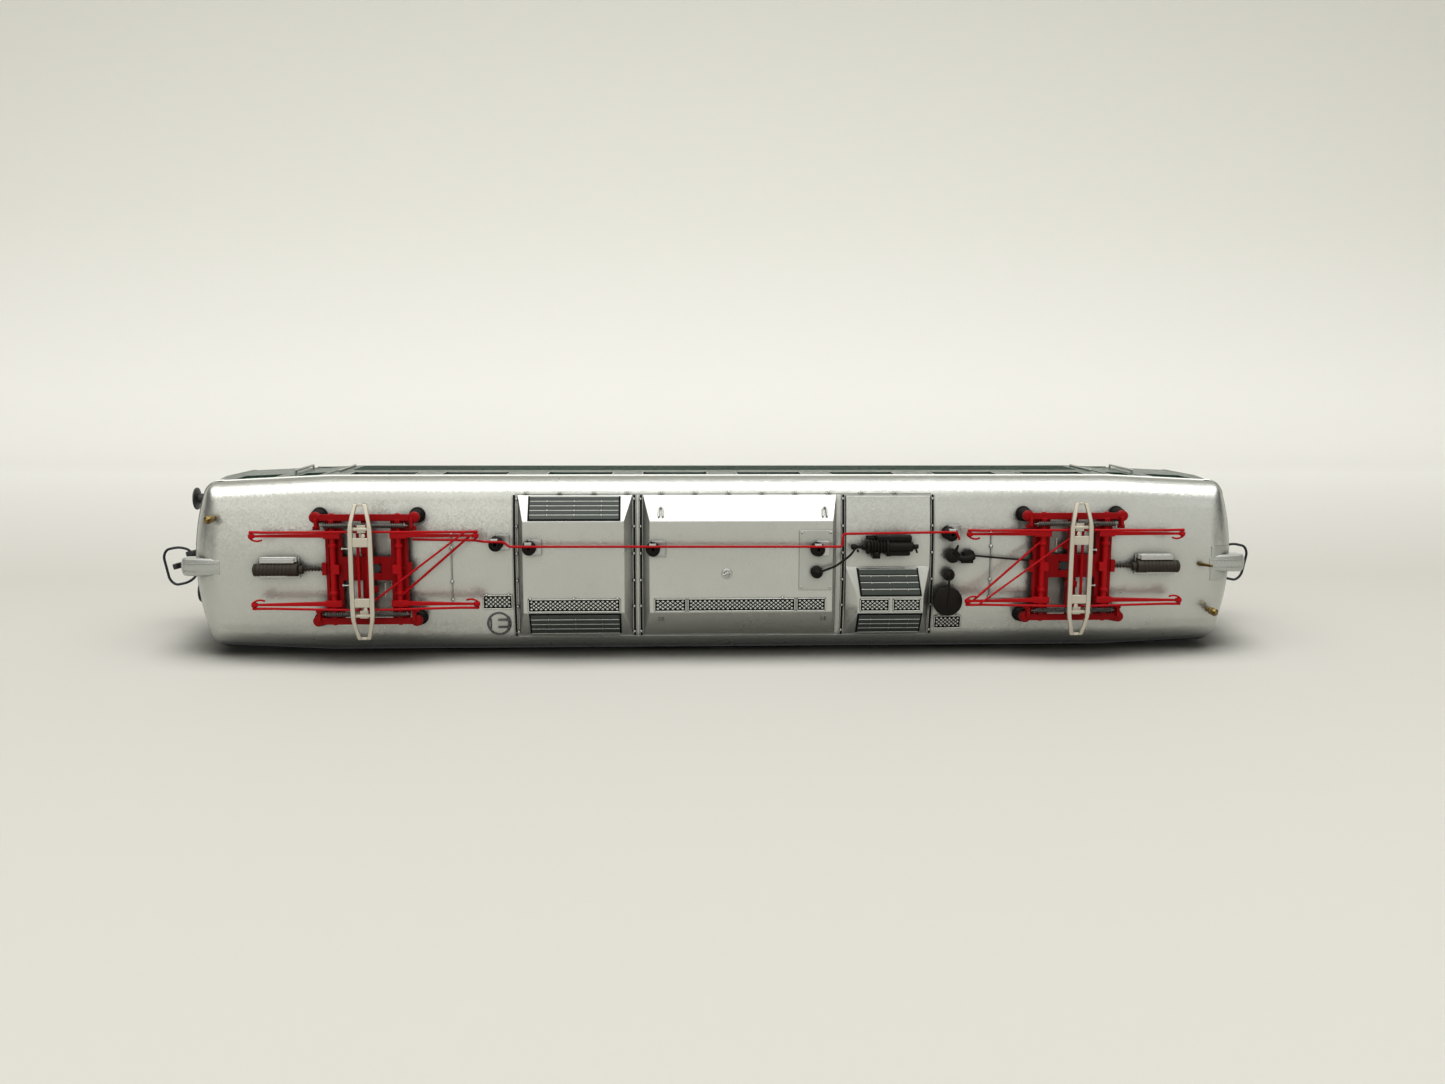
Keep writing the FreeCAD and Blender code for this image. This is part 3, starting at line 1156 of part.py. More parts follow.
# ---------------------------------------------------------------- all nodes
def build_nodes():
    nodes = {
        "chassis_frame": chassis_frame(),
        "body_shell": body_shell(),
        "roof_shell": roof_shell(),
        "roof_hatches": roof_hatches(),
        "louvre_grilles": louvre_grilles(),
        "window_glazing": window_glazing(),
        "lamp_lenses": lamp_lenses(),
        "handrails": handrails(),
        "roof_conductor": roof_conductor(),
        "roof_insulators": roof_insulators(),
        "circuit_breaker": circuit_breaker(),
        "voltage_transformer": voltage_transformer(),
        "pantograph_drives": pantograph_drives(),
        "whistles": whistles(),
        "motor_can": motor_can(),
        "circuit_board": circuit_board(),
        "cab_interiors": cab_interiors(),
        "buffers": buffers(),
        "underfloor_tanks": underfloor_tanks(),
        "screws": screws(),
        "motor_rotor": motor_rotor(),
        "flywheels": flywheels(),
    }
    nodes.update(pantograph_nodes())
    nodes.update(bogie_nodes())
    nodes.update(coupler_nodes())
    return nodes


def main():
    os.makedirs("parts", exist_ok=True)
    for name, shape in build_nodes().items():
        shape.exportStep("parts/" + name + ".step")


main()
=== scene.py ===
"""Looks of the model electric locomotive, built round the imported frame.

Forms are written in millimetres and made in metres. +X runs along the track, +Y across it, +Z up.
The locomotive lies on its -Y side for the picture, so the table is a plane at the -Y side.
"""
import json
import math

import bpy
import numpy as np
from mathutils import Matrix, Vector


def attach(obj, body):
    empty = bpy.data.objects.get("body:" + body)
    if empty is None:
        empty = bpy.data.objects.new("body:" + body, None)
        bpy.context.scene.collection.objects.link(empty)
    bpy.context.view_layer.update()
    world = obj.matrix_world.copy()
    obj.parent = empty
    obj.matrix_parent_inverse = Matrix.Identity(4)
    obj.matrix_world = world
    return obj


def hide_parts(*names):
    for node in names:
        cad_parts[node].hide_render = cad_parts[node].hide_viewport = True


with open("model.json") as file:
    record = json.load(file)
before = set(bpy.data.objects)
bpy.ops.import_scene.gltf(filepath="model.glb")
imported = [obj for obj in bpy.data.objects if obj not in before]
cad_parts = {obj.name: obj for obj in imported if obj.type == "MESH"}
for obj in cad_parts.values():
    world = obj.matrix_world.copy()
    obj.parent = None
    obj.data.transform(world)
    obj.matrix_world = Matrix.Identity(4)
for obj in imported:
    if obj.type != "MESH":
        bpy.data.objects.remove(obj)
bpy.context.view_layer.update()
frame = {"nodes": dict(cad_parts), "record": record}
MM = 0.001
ENDS = (("a", -1), ("b", 1))
SIDES = (-1, 1)
ALONG = (1, 0, 0)
ACROSS = (0, 1, 0)
BOX_FACES = ((0, 2, 3, 1), (4, 5, 7, 6), (0, 1, 5, 4), (2, 6, 7, 3), (0, 4, 6, 2), (1, 3, 7, 5))
BEVEL_STEPS = 2
SHARP_ANGLE = 34
CAD_SHARP = 32
SKIN_SHARP = 60
HATCH_SHARP = 22


# ------------------------------------------------------------------ forms
def circle(count):
    """Cosines and sines of evenly spaced angles, once round."""
    angles = [2 * math.pi * k / count for k in range(count)]
    return [(math.cos(a), math.sin(a)) for a in angles]


class Form:
    """Vertices and faces, in millimetres, gathered from simple forms."""

    def __init__(self):
        self.verts = []
        self.faces = []

    def add(self, verts, faces):
        base = len(self.verts)
        self.verts += [tuple(float(c) for c in v) for v in verts]
        self.faces += [tuple(base + i for i in face) for face in faces]
        return self

    def join(self, other):
        return self.add(other.verts, other.faces)

    def box(self, x0, x1, y0, y1, z0, z1):
        """Box between its bounds; each pair may come in either order."""
        xs, ys, zs = sorted((x0, x1)), sorted((y0, y1)), sorted((z0, z1))
        return self.add([(x, y, z) for z in zs for y in ys for x in xs], BOX_FACES)

    def loft(self, rings, caps=True, closed=False):
        """Skin over rings of equal length, each a closed loop of points."""
        count = len(rings[0])
        verts = [p for ring in rings for p in ring]
        faces = []
        pairs = list(zip(range(len(rings)), range(1, len(rings))))
        if closed:
            pairs.append((len(rings) - 1, 0))
        for a, b in pairs:
            for i in range(count):
                j = (i + 1) % count
                faces.append((a * count + i, a * count + j, b * count + j, b * count + i))
        if caps and not closed:
            faces.append(tuple(reversed(range(count))))
            faces.append(tuple((len(rings) - 1) * count + i for i in range(count)))
        return self.add(verts, faces)

    def tube(self, points, radius, sides=10, closed=False):
        """Round wire along the points; radius is one number or one for each point."""
        path = [Vector(p) for p in points]
        last = len(path) - 1
        radii = radius if isinstance(radius, (list, tuple)) else [radius] * len(path)
        rings = []
        normal = None
        for i, p in enumerate(path):
            before = path[i - 1] if i or closed else p
            after = path[(i + 1) % len(path)] if i < last or closed else p
            incoming = (p - before).normalized() if (p - before).length else (after - p).normalized()
            outgoing = (after - p).normalized() if (after - p).length else incoming
            along = incoming + outgoing
            along = along.normalized() if along.length > 1e-6 else outgoing
            if normal is None:
                start = Vector((0, 0, 1)) if abs(along.z) < 0.9 else Vector((1, 0, 0))
                normal = along.cross(start).normalized()
            normal = (normal - along * normal.dot(along)).normalized()
            side = along.cross(normal)
            half_bend = math.sqrt(max(0.0, (1 + incoming.dot(outgoing)) / 2))
            stretch = 1.0 / max(0.5, half_bend) if 0 < i < last else 1
            rings.append([p + (normal * c + side * s) * radii[i] * stretch for c, s in circle(sides)])
        return self.loft(rings, closed=closed)

    def lathe(self, profile, origin, axis=(0, 0, 1), sides=28):
        """Turned form: profile of (radius, height) along the axis from the origin."""
        axis = Vector(axis).normalized()
        start = Vector((1, 0, 0)) if abs(axis.x) < 0.9 else Vector((0, 1, 0))
        u = axis.cross(start).normalized()
        w = axis.cross(u)
        rings = []
        for radius, height in profile:
            centre = Vector(origin) + axis * height
            rings.append([centre + (u * c + w * s) * max(radius, 0.001) for c, s in circle(sides)])
        return self.loft(rings)

    def mapped(self, change, flip=False):
        other = Form()
        faces = [tuple(reversed(f)) for f in self.faces] if flip else self.faces
        return other.add([change(Vector(v)) for v in self.verts], faces)

    def moved(self, x=0.0, y=0.0, z=0.0):
        return self.mapped(lambda v: v + Vector((x, y, z)))

    def mirrored(self, axis):
        def change(v):
            v = v.copy()
            v[axis] = -v[axis]
            return v
        return self.mapped(change, True)

    def turned(self, degrees, axis="Z", centre=(0, 0, 0)):
        turn = Matrix.Rotation(math.radians(degrees), 3, axis)
        c = Vector(centre)
        return self.mapped(lambda v: turn @ (v - c) + c)

    def both(self, axis):
        return Form().join(self).join(self.mirrored(axis))


def added(name, data):
    """Object for the data, linked into the scene."""
    obj = bpy.data.objects.new(name, data)
    bpy.context.scene.collection.objects.link(obj)
    return obj


def mesh_object(name, verts, faces, material):
    """Smooth shaded object from points in millimetres."""
    mesh = bpy.data.meshes.new(name)
    mesh.from_pydata([(x * MM, y * MM, z * MM) for x, y, z in verts], [], faces)
    mesh.validate()
    mesh.update()
    mesh.shade_smooth()
    mesh.materials.append(material)
    return added(name, mesh)


def finished(form, name, material, bevel=0.0, body="chassis", sharp=SHARP_ANGLE, replaces=None):
    """Make the piece, soften its edges, hang it on the body it rides on, and hide the CAD node it stands for.
    """
    obj = mesh_object(name, form.verts, form.faces, material)
    obj.data.set_sharp_from_angle(angle=math.radians(sharp))
    if bevel:
        edge = obj.modifiers.new("soft_edges", "BEVEL")
        edge.width = bevel * MM
        edge.segments = BEVEL_STEPS
        edge.limit_method = "ANGLE"
        edge.angle_limit = math.radians(sharp)
        edge.use_clamp_overlap = True
        weights = obj.modifiers.new("even_normals", "WEIGHTED_NORMAL")
        weights.keep_sharp = True
    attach(obj, body)
    if replaces:
        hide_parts(replaces)


# ------------------------------------------------------------------ materials
FLAKES_PER_METRE = 4200.0
FLAKE_TILT = 0.22
SILVER_EDGE = 0.00016


def srgb(r, g, b):
    """Linear colour, fully opaque, from display values of 0 to 255."""
    def linear(c):
        c /= 255.0
        return c / 12.92 if c <= 0.04045 else ((c + 0.055) / 1.055) ** 2.4
    return (linear(r), linear(g), linear(b), 1.0)


def toned(colour, share):
    """The colour made darker or lighter by a share of itself."""
    return tuple(min(1.0, c * share) for c in colour[:3]) + (1.0,)


class Nodes:
    """Small helper for building the node tree of a material or a world."""

    def __init__(self, owner, ending):
        owner.use_nodes = True
        self.tree = owner.node_tree
        self.tree.nodes.clear()
        self.out = self.new(ending)

    def new(self, kind, feeds=None, **settings):
        """Node with its settings; feeds fill its inputs, by name or number."""
        node = self.tree.nodes.new(kind)
        for key, value in settings.items():
            setattr(node, key, value)
        for key, value in (feeds or {}).items():
            self.feed(node.inputs[key], value)
        return node

    def feed(self, socket, value):
        """Link an output to the input, or give it a plain value."""
        if hasattr(value, "is_linked"):
            self.tree.links.new(value, socket)
        else:
            socket.default_value = value

    def spread(self, value, low, high, start=0.3, end=0.7):
        """Carry a value from the span start to end over to the span low to high."""
        feeds = {"Value": value, "From Min": start, "From Max": end, "To Min": low, "To Max": high}
        return self.new("ShaderNodeMapRange", feeds).outputs[0]

    def mix(self, share, a, b, blend="MIX"):
        """Blend of two colours."""
        feeds = {0: share, 6: a, 7: b}
        return self.new("ShaderNodeMix", feeds, data_type="RGBA", blend_type=blend).outputs[2]


class Surface(Nodes):
    """Material with one principled shader, patterned in the object's own coordinates."""

    def __init__(self, name):
        self.material = bpy.data.materials.new(name)
        super().__init__(self.material, "ShaderNodeOutputMaterial")
        self.shader = self.new("ShaderNodeBsdfPrincipled")
        self.feed(self.out.inputs[0], self.shader.outputs[0])
        self.place = self.new("ShaderNodeTexCoord").outputs["Object"]

    def noise(self, scale, detail=2.0, rough=0.5):
        feeds = {"Scale": scale, "Detail": detail, "Roughness": rough, "Vector": self.place}
        return self.new("ShaderNodeTexNoise", feeds).outputs["Fac"]

    def bump(self, height, strength, distance, normal):
        feeds = {"Strength": strength, "Distance": distance, "Height": height, "Normal": normal}
        return self.new("ShaderNodeBump", feeds).outputs[0]

    def vector(self, operation, **feeds):
        """Vector maths on the feeds a and b, or a and Scale."""
        inputs = {{"a": 0, "b": 1}.get(key, key): value for key, value in feeds.items()}
        return self.new("ShaderNodeVectorMath", inputs, operation=operation)

    def edges(self, radius):
        """Mask that is bright where the surface turns sharply within the radius, and the rounded normal."""
        rounded = self.new("ShaderNodeBevel", {"Radius": radius}, samples=4).outputs[0]
        plain = self.new("ShaderNodeNewGeometry").outputs["Normal"]
        dot = self.vector("DOT_PRODUCT", a=rounded, b=plain).outputs["Value"]
        return self.spread(dot, 1.0, 0.0, 0.85, 0.995), rounded

    def openness(self, reach, start, end):
        """Share for painted shade: 0 in hollows and 1 in the open, judged within the reach."""
        sky = self.new("ShaderNodeAmbientOcclusion", {"Distance": reach}, samples=6)
        return self.spread(sky.outputs["AO"], 0.0, 1.0, start, end)

    def set(self, **values):
        """Feed the shader's inputs, their names written with underscores."""
        for key, value in values.items():
            self.feed(self.shader.inputs[key.replace("_", " ")], value)


def finish_of(name, colour, metallic, rough, grain=0.00025, grain_depth=0.06, spots=0.12, worn=None,
              coat=0.0, edge=0.00012, gloss=0.5):
    """Painted, moulded or bare surface: uneven tone, fine grain, rounded and slightly worn edges."""
    n = Surface(name)
    light = toned(srgb(*colour), 1 + spots)
    fine = n.noise(1.0 / grain, 2.0, 0.6)
    tone = n.mix(n.spread(n.noise(60.0, 3.0, 0.6), 0.0, 1.0), toned(srgb(*colour), 1 - spots), light)
    tone = n.mix(n.spread(fine, 0.0, 0.35), tone, light)
    mask, rounded = n.edges(edge)
    if worn:
        tone = n.mix(n.spread(mask, 0.0, 0.55, 0.2, 1.0), tone, srgb(*worn))
    uneven = n.spread(n.noise(900.0, 3.0), rough * 0.85, rough * 1.2)
    n.set(Base_Color=tone, Metallic=metallic, Roughness=uneven)
    n.set(Normal=n.bump(fine, grain_depth, grain * 0.5, rounded), Specular_IOR_Level=gloss)
    if coat:
        n.set(Coat_Weight=coat, Coat_Roughness=0.12)
    return n.material


def silver_paint(name, colour, rough=0.30, sparkle=0.2, reach=0.0035):
    """Satin metallic paint with fine flakes that catch the light one by one, with painted shade in its
    hollows.
    """
    n = Surface(name)
    base = srgb(*colour)
    flakes = n.new("ShaderNodeTexVoronoi", {"Scale": FLAKES_PER_METRE, "Vector": n.place}, feature="F1")
    centred = n.vector("SUBTRACT", a=flakes.outputs["Color"], b=(0.5, 0.5, 0.5)).outputs[0]
    tilt = n.vector("SCALE", a=centred, Scale=FLAKE_TILT * sparkle).outputs[0]
    mask, rounded = n.edges(SILVER_EDGE)
    total = n.vector("ADD", a=rounded, b=tilt).outputs[0]
    even = n.vector("NORMALIZE", a=total).outputs[0]
    cloud = n.noise(400.0, 4.0, 0.65)
    tone = n.mix(n.spread(n.noise(45.0, 3.0, 0.6), 0.0, 1.0), toned(base, 0.93), toned(base, 1.07))
    tone = n.mix(n.spread(cloud, 0.0, 0.5), tone, base)
    tone = n.mix(n.spread(mask, 0.0, 0.5, 0.1, 1.0), tone, toned(base, 1.07))
    # painted shade: the colour goes nearly black in hollows and between close parts, where shade falls
    tone = n.mix(n.openness(reach, 0.35, 0.85), toned(base, 0.10), tone)
    n.set(Base_Color=tone, Metallic=0.88, Roughness=n.spread(cloud, rough * 0.9, rough * 1.12))
    n.set(Normal=n.bump(n.noise(2600.0), 0.05, 0.00005, even))
    return n.material


def clear_plastic(name, tint):
    """Clear moulding, slightly hazy."""
    n = Surface(name)
    haze = n.noise(80.0, 3.0)
    tone = n.mix(n.spread(haze, 0.0, 1.0), tint, toned(tint, 1.12))
    n.set(Base_Color=tone, Roughness=n.spread(haze, 0.03, 0.045))
    n.set(Transmission_Weight=0.88, IOR=1.46)
    return n.material


# silver paints: name, colour, roughness, sparkle, reach of the painted shade in hollows
SILVER = silver_paint("silver_roof_paint", (186, 187, 182), 0.30, 0.5)
SILVER_FINE = silver_paint("silver_fine_paint", (176, 178, 173), 0.30, 0.25)
LOUVRE = silver_paint("louvre_paint", (74, 79, 77))
PADS = silver_paint("chequer_paint", (196, 198, 192), 0.32, 0.2, 0.0005)
# other finishes: name, colour, metallic, roughness, grain size in metres, grain depth, spots, worn colour
GREEN = finish_of("green_body_paint", (15, 46, 32), 0.0, 0.30, 0.0012, 0.01, 0.04, (38, 66, 55), coat=0.12,
                  gloss=0.35)
RED = finish_of("red_paint", (150, 2, 9), 0.0, 0.44, 0.0002, 0.05, 0.10, (186, 14, 20), gloss=0.12)
RED_DARK = finish_of("red_paint_frame", (124, 1, 6), 0.0, 0.48, 0.0002, 0.05, 0.14, (160, 8, 14), gloss=0.10)
MOULDING = finish_of("insulator_moulding", (16, 12, 9), 0.0, 0.42, 0.0003, 0.10, 0.2, (44, 37, 31),
                     gloss=0.12)
DRIVE_BROWN = finish_of("drive_moulding", (40, 34, 26), 0.0, 0.44, 0.0003, 0.12, 0.2, (78, 70, 58), gloss=0.2)
# painted shade: near-black for the roof gaps, the walkway grooves and the louvre backs, where shade falls
GAP_SHADE = finish_of("painted_gap_shade", (16, 18, 17), 0.0, 0.6, 0.0003, 0.06, 0.12, gloss=0.1)
BRASS = finish_of("turned_brass", (112, 94, 52), 1.0, 0.30, 0.0002, 0.05, 0.12, (190, 165, 110))
NICKEL = finish_of("nickel_strip_metal", (190, 184, 170), 0.9, 0.38, 0.00025, 0.06, 0.08, (220, 215, 203))
SPRING = finish_of("spring_steel", (92, 90, 86), 1.0, 0.32, 0.0002, 0.04, 0.1, (150, 148, 142))
STEEL = finish_of("bright_steel", (178, 178, 176), 1.0, 0.30, 0.0002, 0.006, 0.1, (215, 215, 212))
BLACK = finish_of("black_moulding", (26, 27, 28), 0.0, 0.5, 0.0004, 0.12, 0.18, (58, 58, 58))
BLACK_WIRE = finish_of("blackened_wire", (42, 44, 47), 0.7, 0.36, 0.0003, 0.06, 0.15, (95, 96, 98))
CASTING = finish_of("zinc_casting", (78, 80, 82), 0.8, 0.5, 0.0004, 0.16, 0.15, (125, 126, 128))
BOARD = finish_of("board_lacquer", (20, 84, 48), 0.0, 0.3, 0.0003, 0.05, 0.12, coat=0.5)
CAB = finish_of("cab_moulding", (120, 126, 112), 0.0, 0.55, 0.0004, 0.08, 0.1)
ROTOR = finish_of("rotor_steel", (118, 116, 114), 1.0, 0.4, 0.0002, 0.1, 0.15)
ACETAL = finish_of("gear_acetal", (222, 218, 204), 0.0, 0.35, 0.0003, 0.04, 0.05)
WHEEL = finish_of("wheel_metal", (120, 116, 110), 1.0, 0.34, 0.0002, 0.06, 0.14, (185, 182, 176))
FAIRING = finish_of("light_guide_cover", (168, 170, 165), 0.6, 0.3, 0.0003, 0.04, 0.05, coat=0.3)
GLAZING = clear_plastic("clear_glazing", (0.42, 0.48, 0.46, 1.0))
LENS = clear_plastic("lens_clear", (0.95, 0.95, 0.90, 1.0))


# ------------------------------------------------------------------ roof form
HALF_WIDTH = 17.2
EAVE_Z = 37.6
ROOF_Z = 42.4
SHOULDER_Z = 41.3
CROWN_Y = 12.6
SIDE_SLOPE = 4.6
END_SLOPE = 9.0
CORNER_X = 96.8
TAPER_X = 77.0
RIDGE_SOFTNESS = 0.9
# the gutter as (step outward, height)
GUTTER = ((0, 37.61), (0.0, 37.5), (0.06, 37.45), (0.22, 37.42), (0.25, 37.36), (0.25, 37.06), (0.2, 37.0),
          (-0.8, 37.0))


def circle_through(a, b, c):
    """Centre and radius of the circle through three points of a plane."""
    ax, ay = a
    bx, by = b
    cx, cy = c
    d = 2 * (ax * (by - cy) + bx * (cy - ay) + cx * (ay - by))
    ux = ((ax**2 + ay**2) * (by - cy) + (bx**2 + by**2) * (cy - ay) + (cx**2 + cy**2) * (ay - by)) / d
    uy = ((ax**2 + ay**2) * (cx - bx) + (bx**2 + by**2) * (ax - cx) + (cx**2 + cy**2) * (bx - ax)) / d
    return ux, uy, math.hypot(ax - ux, ay - uy)


def arc_points(a, b, c, count):
    """Points along the arc from a through b to c."""
    ux, uy, r = circle_through(a, b, c)
    angles = [math.atan2(p[1] - uy, p[0] - ux) for p in (a, b, c)]
    middle = (angles[1] - angles[0] + math.pi) % (2 * math.pi) - math.pi
    rest = (angles[2] - angles[1] + math.pi) % (2 * math.pi) - math.pi
    turns = [angles[0] + (middle + rest) * i / count for i in range(count + 1)]
    return [(ux + r * math.cos(t), uy + r * math.sin(t)) for t in turns]


SIDE_ARC = arc_points((0.0, EAVE_Z), (1.5, 40.1), (SIDE_SLOPE, SHOULDER_Z), 24)
END_ARC = arc_points((0.0, EAVE_Z), (1.9, 40.7), (END_SLOPE, ROOF_Z), 24)
CROWN = circle_through((-CROWN_Y, SHOULDER_Z), (0.0, ROOF_Z), (CROWN_Y, SHOULDER_Z))
CORNER = arc_points((103.0, 0.0), (102.43, 7.0), (100.7, 14.0), 20) + arc_points(
    (100.7, 14.0), (99.5, 15.6), (CORNER_X, 16.2), 16)[1:]


def half_width(x):
    return HALF_WIDTH - max(0.0, abs(x) - TAPER_X) / 19.8


def outline(offset):
    """Closed plan outline of the roof, grown by an offset."""
    tapered = [CORNER_X - (CORNER_X - TAPER_X) * i / 4 for i in range(1, 5)]
    quarter = CORNER + [(x, half_width(x)) for x in tapered]
    quarter += [(TAPER_X * (1 - i / 12), HALF_WIDTH) for i in range(1, 13)]
    loop = quarter + [(-x, y) for x, y in reversed(quarter[:-1])]
    loop = loop + [(x, -y) for x, y in reversed(loop[1:-1])]
    points = []
    for i, (x, y) in enumerate(loop):
        px, py = loop[i - 1]
        qx, qy = loop[(i + 1) % len(loop)]
        tx, ty = qx - px, qy - py
        length = math.hypot(tx, ty)
        points.append((x + ty / length * offset, y - tx / length * offset))
    return points


def profile_height(profile, depth):
    return float(np.interp(depth, [p[0] for p in profile], [p[1] for p in profile]))


def crown(y):
    return CROWN[1] + math.sqrt(CROWN[2] ** 2 - (y - CROWN[0]) ** 2)


END_V = [y / half_width(x) for x, y in CORNER]
END_X = [x for x, _ in CORNER]


def smaller(a, b):
    """Lesser of two heights, with a soft change from one to the other."""
    h = max(RIDGE_SOFTNESS - abs(a - b), 0.0) / RIDGE_SOFTNESS
    return min(a, b) - h * h * RIDGE_SOFTNESS / 4


def roof_height(x, y, share=None):
    """Height of the roof skin over a point of its plan."""
    width = half_width(x)
    v = abs(y) / width if share is None else abs(share)
    from_end = float(np.interp(v, END_V, END_X)) - abs(x)
    from_side = width - abs(y)
    sideways = profile_height(SIDE_ARC, from_side) if from_side < SIDE_SLOPE else crown(min(abs(y), CROWN_Y))
    endways = profile_height(END_ARC, from_end) if from_end < END_SLOPE else ROOF_Z
    return smaller(sideways, endways) if endways < ROOF_Z else sideways


def roof_skin():
    """Roof skin as one smooth sheet, closed below by its gutter."""
    form = Form()
    along = 150
    across = 56
    us = [math.sin(math.pi / 2 * (2 * i / along - 1)) for i in range(along + 1)]
    vs = [math.sin(math.pi / 2 * (2 * j / across - 1)) for j in range(across + 1)]
    verts = []
    for u in us:
        for v in vs:
            x = u * float(np.interp(abs(v), END_V, END_X))
            y = v * half_width(x)
            verts.append((x, y, roof_height(x, y, v)))
    row = across + 1
    faces = []
    for i in range(along):
        for j in range(across):
            faces.append((i * row + j, (i + 1) * row + j, (i + 1) * row + j + 1, i * row + j + 1))
    form.add(verts, faces)
    return form.loft([[(x, y, z) for x, y in outline(offset)] for offset, z in GUTTER], caps=False)


def strip(x0, x1, y0, y1, lift, sink=0.4, columns=6, rows=12):
    """Thin plate that follows the roof, raised by lift."""
    form = Form()
    xs = [x0 + (x1 - x0) * i / columns for i in range(columns + 1)]
    ys = [y0 + (y1 - y0) * j / rows for j in range(rows + 1)]
    top = [(x, y, roof_height(x, y) + lift) for x in xs for y in ys]
    low = [(x, y, z - lift - sink) for x, y, z in top]
    row = rows + 1
    count = len(top)
    faces = []
    for i in range(columns):
        for j in range(rows):
            a = i * row + j
            faces.append((a, a + row, a + row + 1, a + 1))
            faces.append((count + a, count + a + 1, count + a + row + 1, count + a + row))
    for i in range(columns):
        a = i * row
        faces.append((a, count + a, count + a + row, a + row))
        b = i * row + rows
        faces.append((b, b + row, count + b + row, count + b))
    for j in range(rows):
        faces.append((j, j + 1, count + j + 1, count + j))
        c = columns * row + j
        faces.append((c, count + c, count + c + 1, c + 1))
    return form.add(top + low, faces)


# ------------------------------------------------------------------ hatches
HATCH_Z = 44.2
FOOT_Y = 13.9
FOOT_Z = 41.05
TOP_Y = 8.95
# along the track: foot, top, top, foot
FRONT = (-40.05, -38.95, -19.4, -17.8)
MIDDLE = (-15.8, -14.5, 21.2, 22.1)
REAR = (23.95, 26.3, 39.2, 40.6)
REAR_TOP = (-9.3, -6.1)
REAR_FOOT = (-0.25, 42.85)
PANEL = (23.95, 40.6)
PANEL_LIFT = 0.45
GAPS = (-40.68, -17.45, -16.15, 23.45, 41.15)
PIN_YS = (13.05, 7.75, 2.5, -2.8, -8.0, -13.2)
RIVET = ((0.2, -0.1), (0.2, 0.12), (0.1, 0.2))
LOZENGE = ((1, 0), (0, 1), (-1, 0), (0, -1))
RIM = 0.16


def hatch_rings(spans, foot, top, foot_z, columns=10, rows=12):
    """Foot ring on the roof and flat top ring of a hatch, point for point."""
    a, b, c, d = spans
    low, high = [], []
    for side, turn in ((0, 1), (1, -1)):
        for i in range(columns):
            t = i / columns if turn > 0 else 1 - i / columns
            low.append((a + (d - a) * t, foot[side]))
            high.append((b + (c - b) * t, top[side]))
        for j in range(rows):
            t = j / rows if turn > 0 else 1 - j / rows
            low.append((d if turn > 0 else a, foot[0] + (foot[1] - foot[0]) * t))
            high.append((c if turn > 0 else b, top[0] + (top[1] - top[0]) * t))
    ground = [(x, y, foot_z(x, y)) for x, y in low]
    return [[(x, y, z - 0.7) for x, y, z in ground], ground, [(x, y, HATCH_Z) for x, y in high]]


def hatch(spans):
    return Form().loft(hatch_rings(spans, (-FOOT_Y, FOOT_Y), (-TOP_Y, TOP_Y), lambda x, y: roof_height(x, y)))


def rear_hatch():
    """Box at the -Y side of the rear panel; its upper slope starts on the panel."""
    def foot_z(x, y):
        return roof_height(x, y) + (PANEL_LIFT if y > REAR_TOP[0] else 0.0)
    return Form().loft(hatch_rings(REAR, (-FOOT_Y - 0.1, REAR_FOOT[0]), REAR_TOP, foot_z))


def slope_frame(y_foot, z_foot, y_top, z_top):
    """Point on a hatch slope from (x, distance up the slope, height above it)."""
    run, rise = y_top - y_foot, z_top - z_foot
    length = math.hypot(run, rise)
    up = Vector((0, run / length, rise / length))
    out = Vector((0, rise / length, -run / length))
    if out.z < 0:
        out = -out

    def place(v):
        return Vector((v.x, y_foot, z_foot)) + up * v.y + out * v.z
    return place, length


def louvre(x0, x1, slope, slats, parts, flip, start=0.6, short=0.95, lean=0.0):
    """Framed grille on a slope: a dark back and frame of painted shade behind the slats, overlapping slats, a
    bright bead and rivets on each slat.
    """
    place, length = slope
    length -= short
    back, blades, edges = Form(), Form(), Form()
    back.box(x0, x1, 0.0, length, -0.25, 0.05)
    back.box(x0 - 0.22, x0, -0.12, length + 0.12, -0.25, 0.14)
    back.box(x1, x1 + 0.22, -0.12, length + 0.12, -0.25, 0.14)
    back.box(x0 - 0.22, x1 + 0.22, length, length + 0.2, -0.25, 0.14)
    pitch = length / slats
    for i in range(slats):
        foot = i * pitch + 0.10 * pitch
        top = i * pitch + 0.92 * pitch
        section = ((foot, 0.04), (top, 0.10), (top, 0.22), (foot, 0.42))
        blades.loft([[(x, y, z) for y, z in section] for x in (x0 + 0.1, x1 - 0.1)])
        edges.tube([(x0 + 0.15, foot, 0.36), (x1 - 0.15, foot, 0.36)], 0.11, 8)
        for share in (0.2, 0.5, 0.8) if i else ():
            edges.lathe(RIVET, (x0 + (x1 - x0) * share, i * pitch + 0.14 * pitch, 0.36), sides=10)
    edges.box(x0 - 0.1, x1 + 0.1, -0.25, -0.08, -0.2, 0.22)
    for part, form in zip(parts, (back, blades, edges)):
        part.join(form.mapped(lambda v: place(v + Vector((lean * v.y, start, 0))), flip))


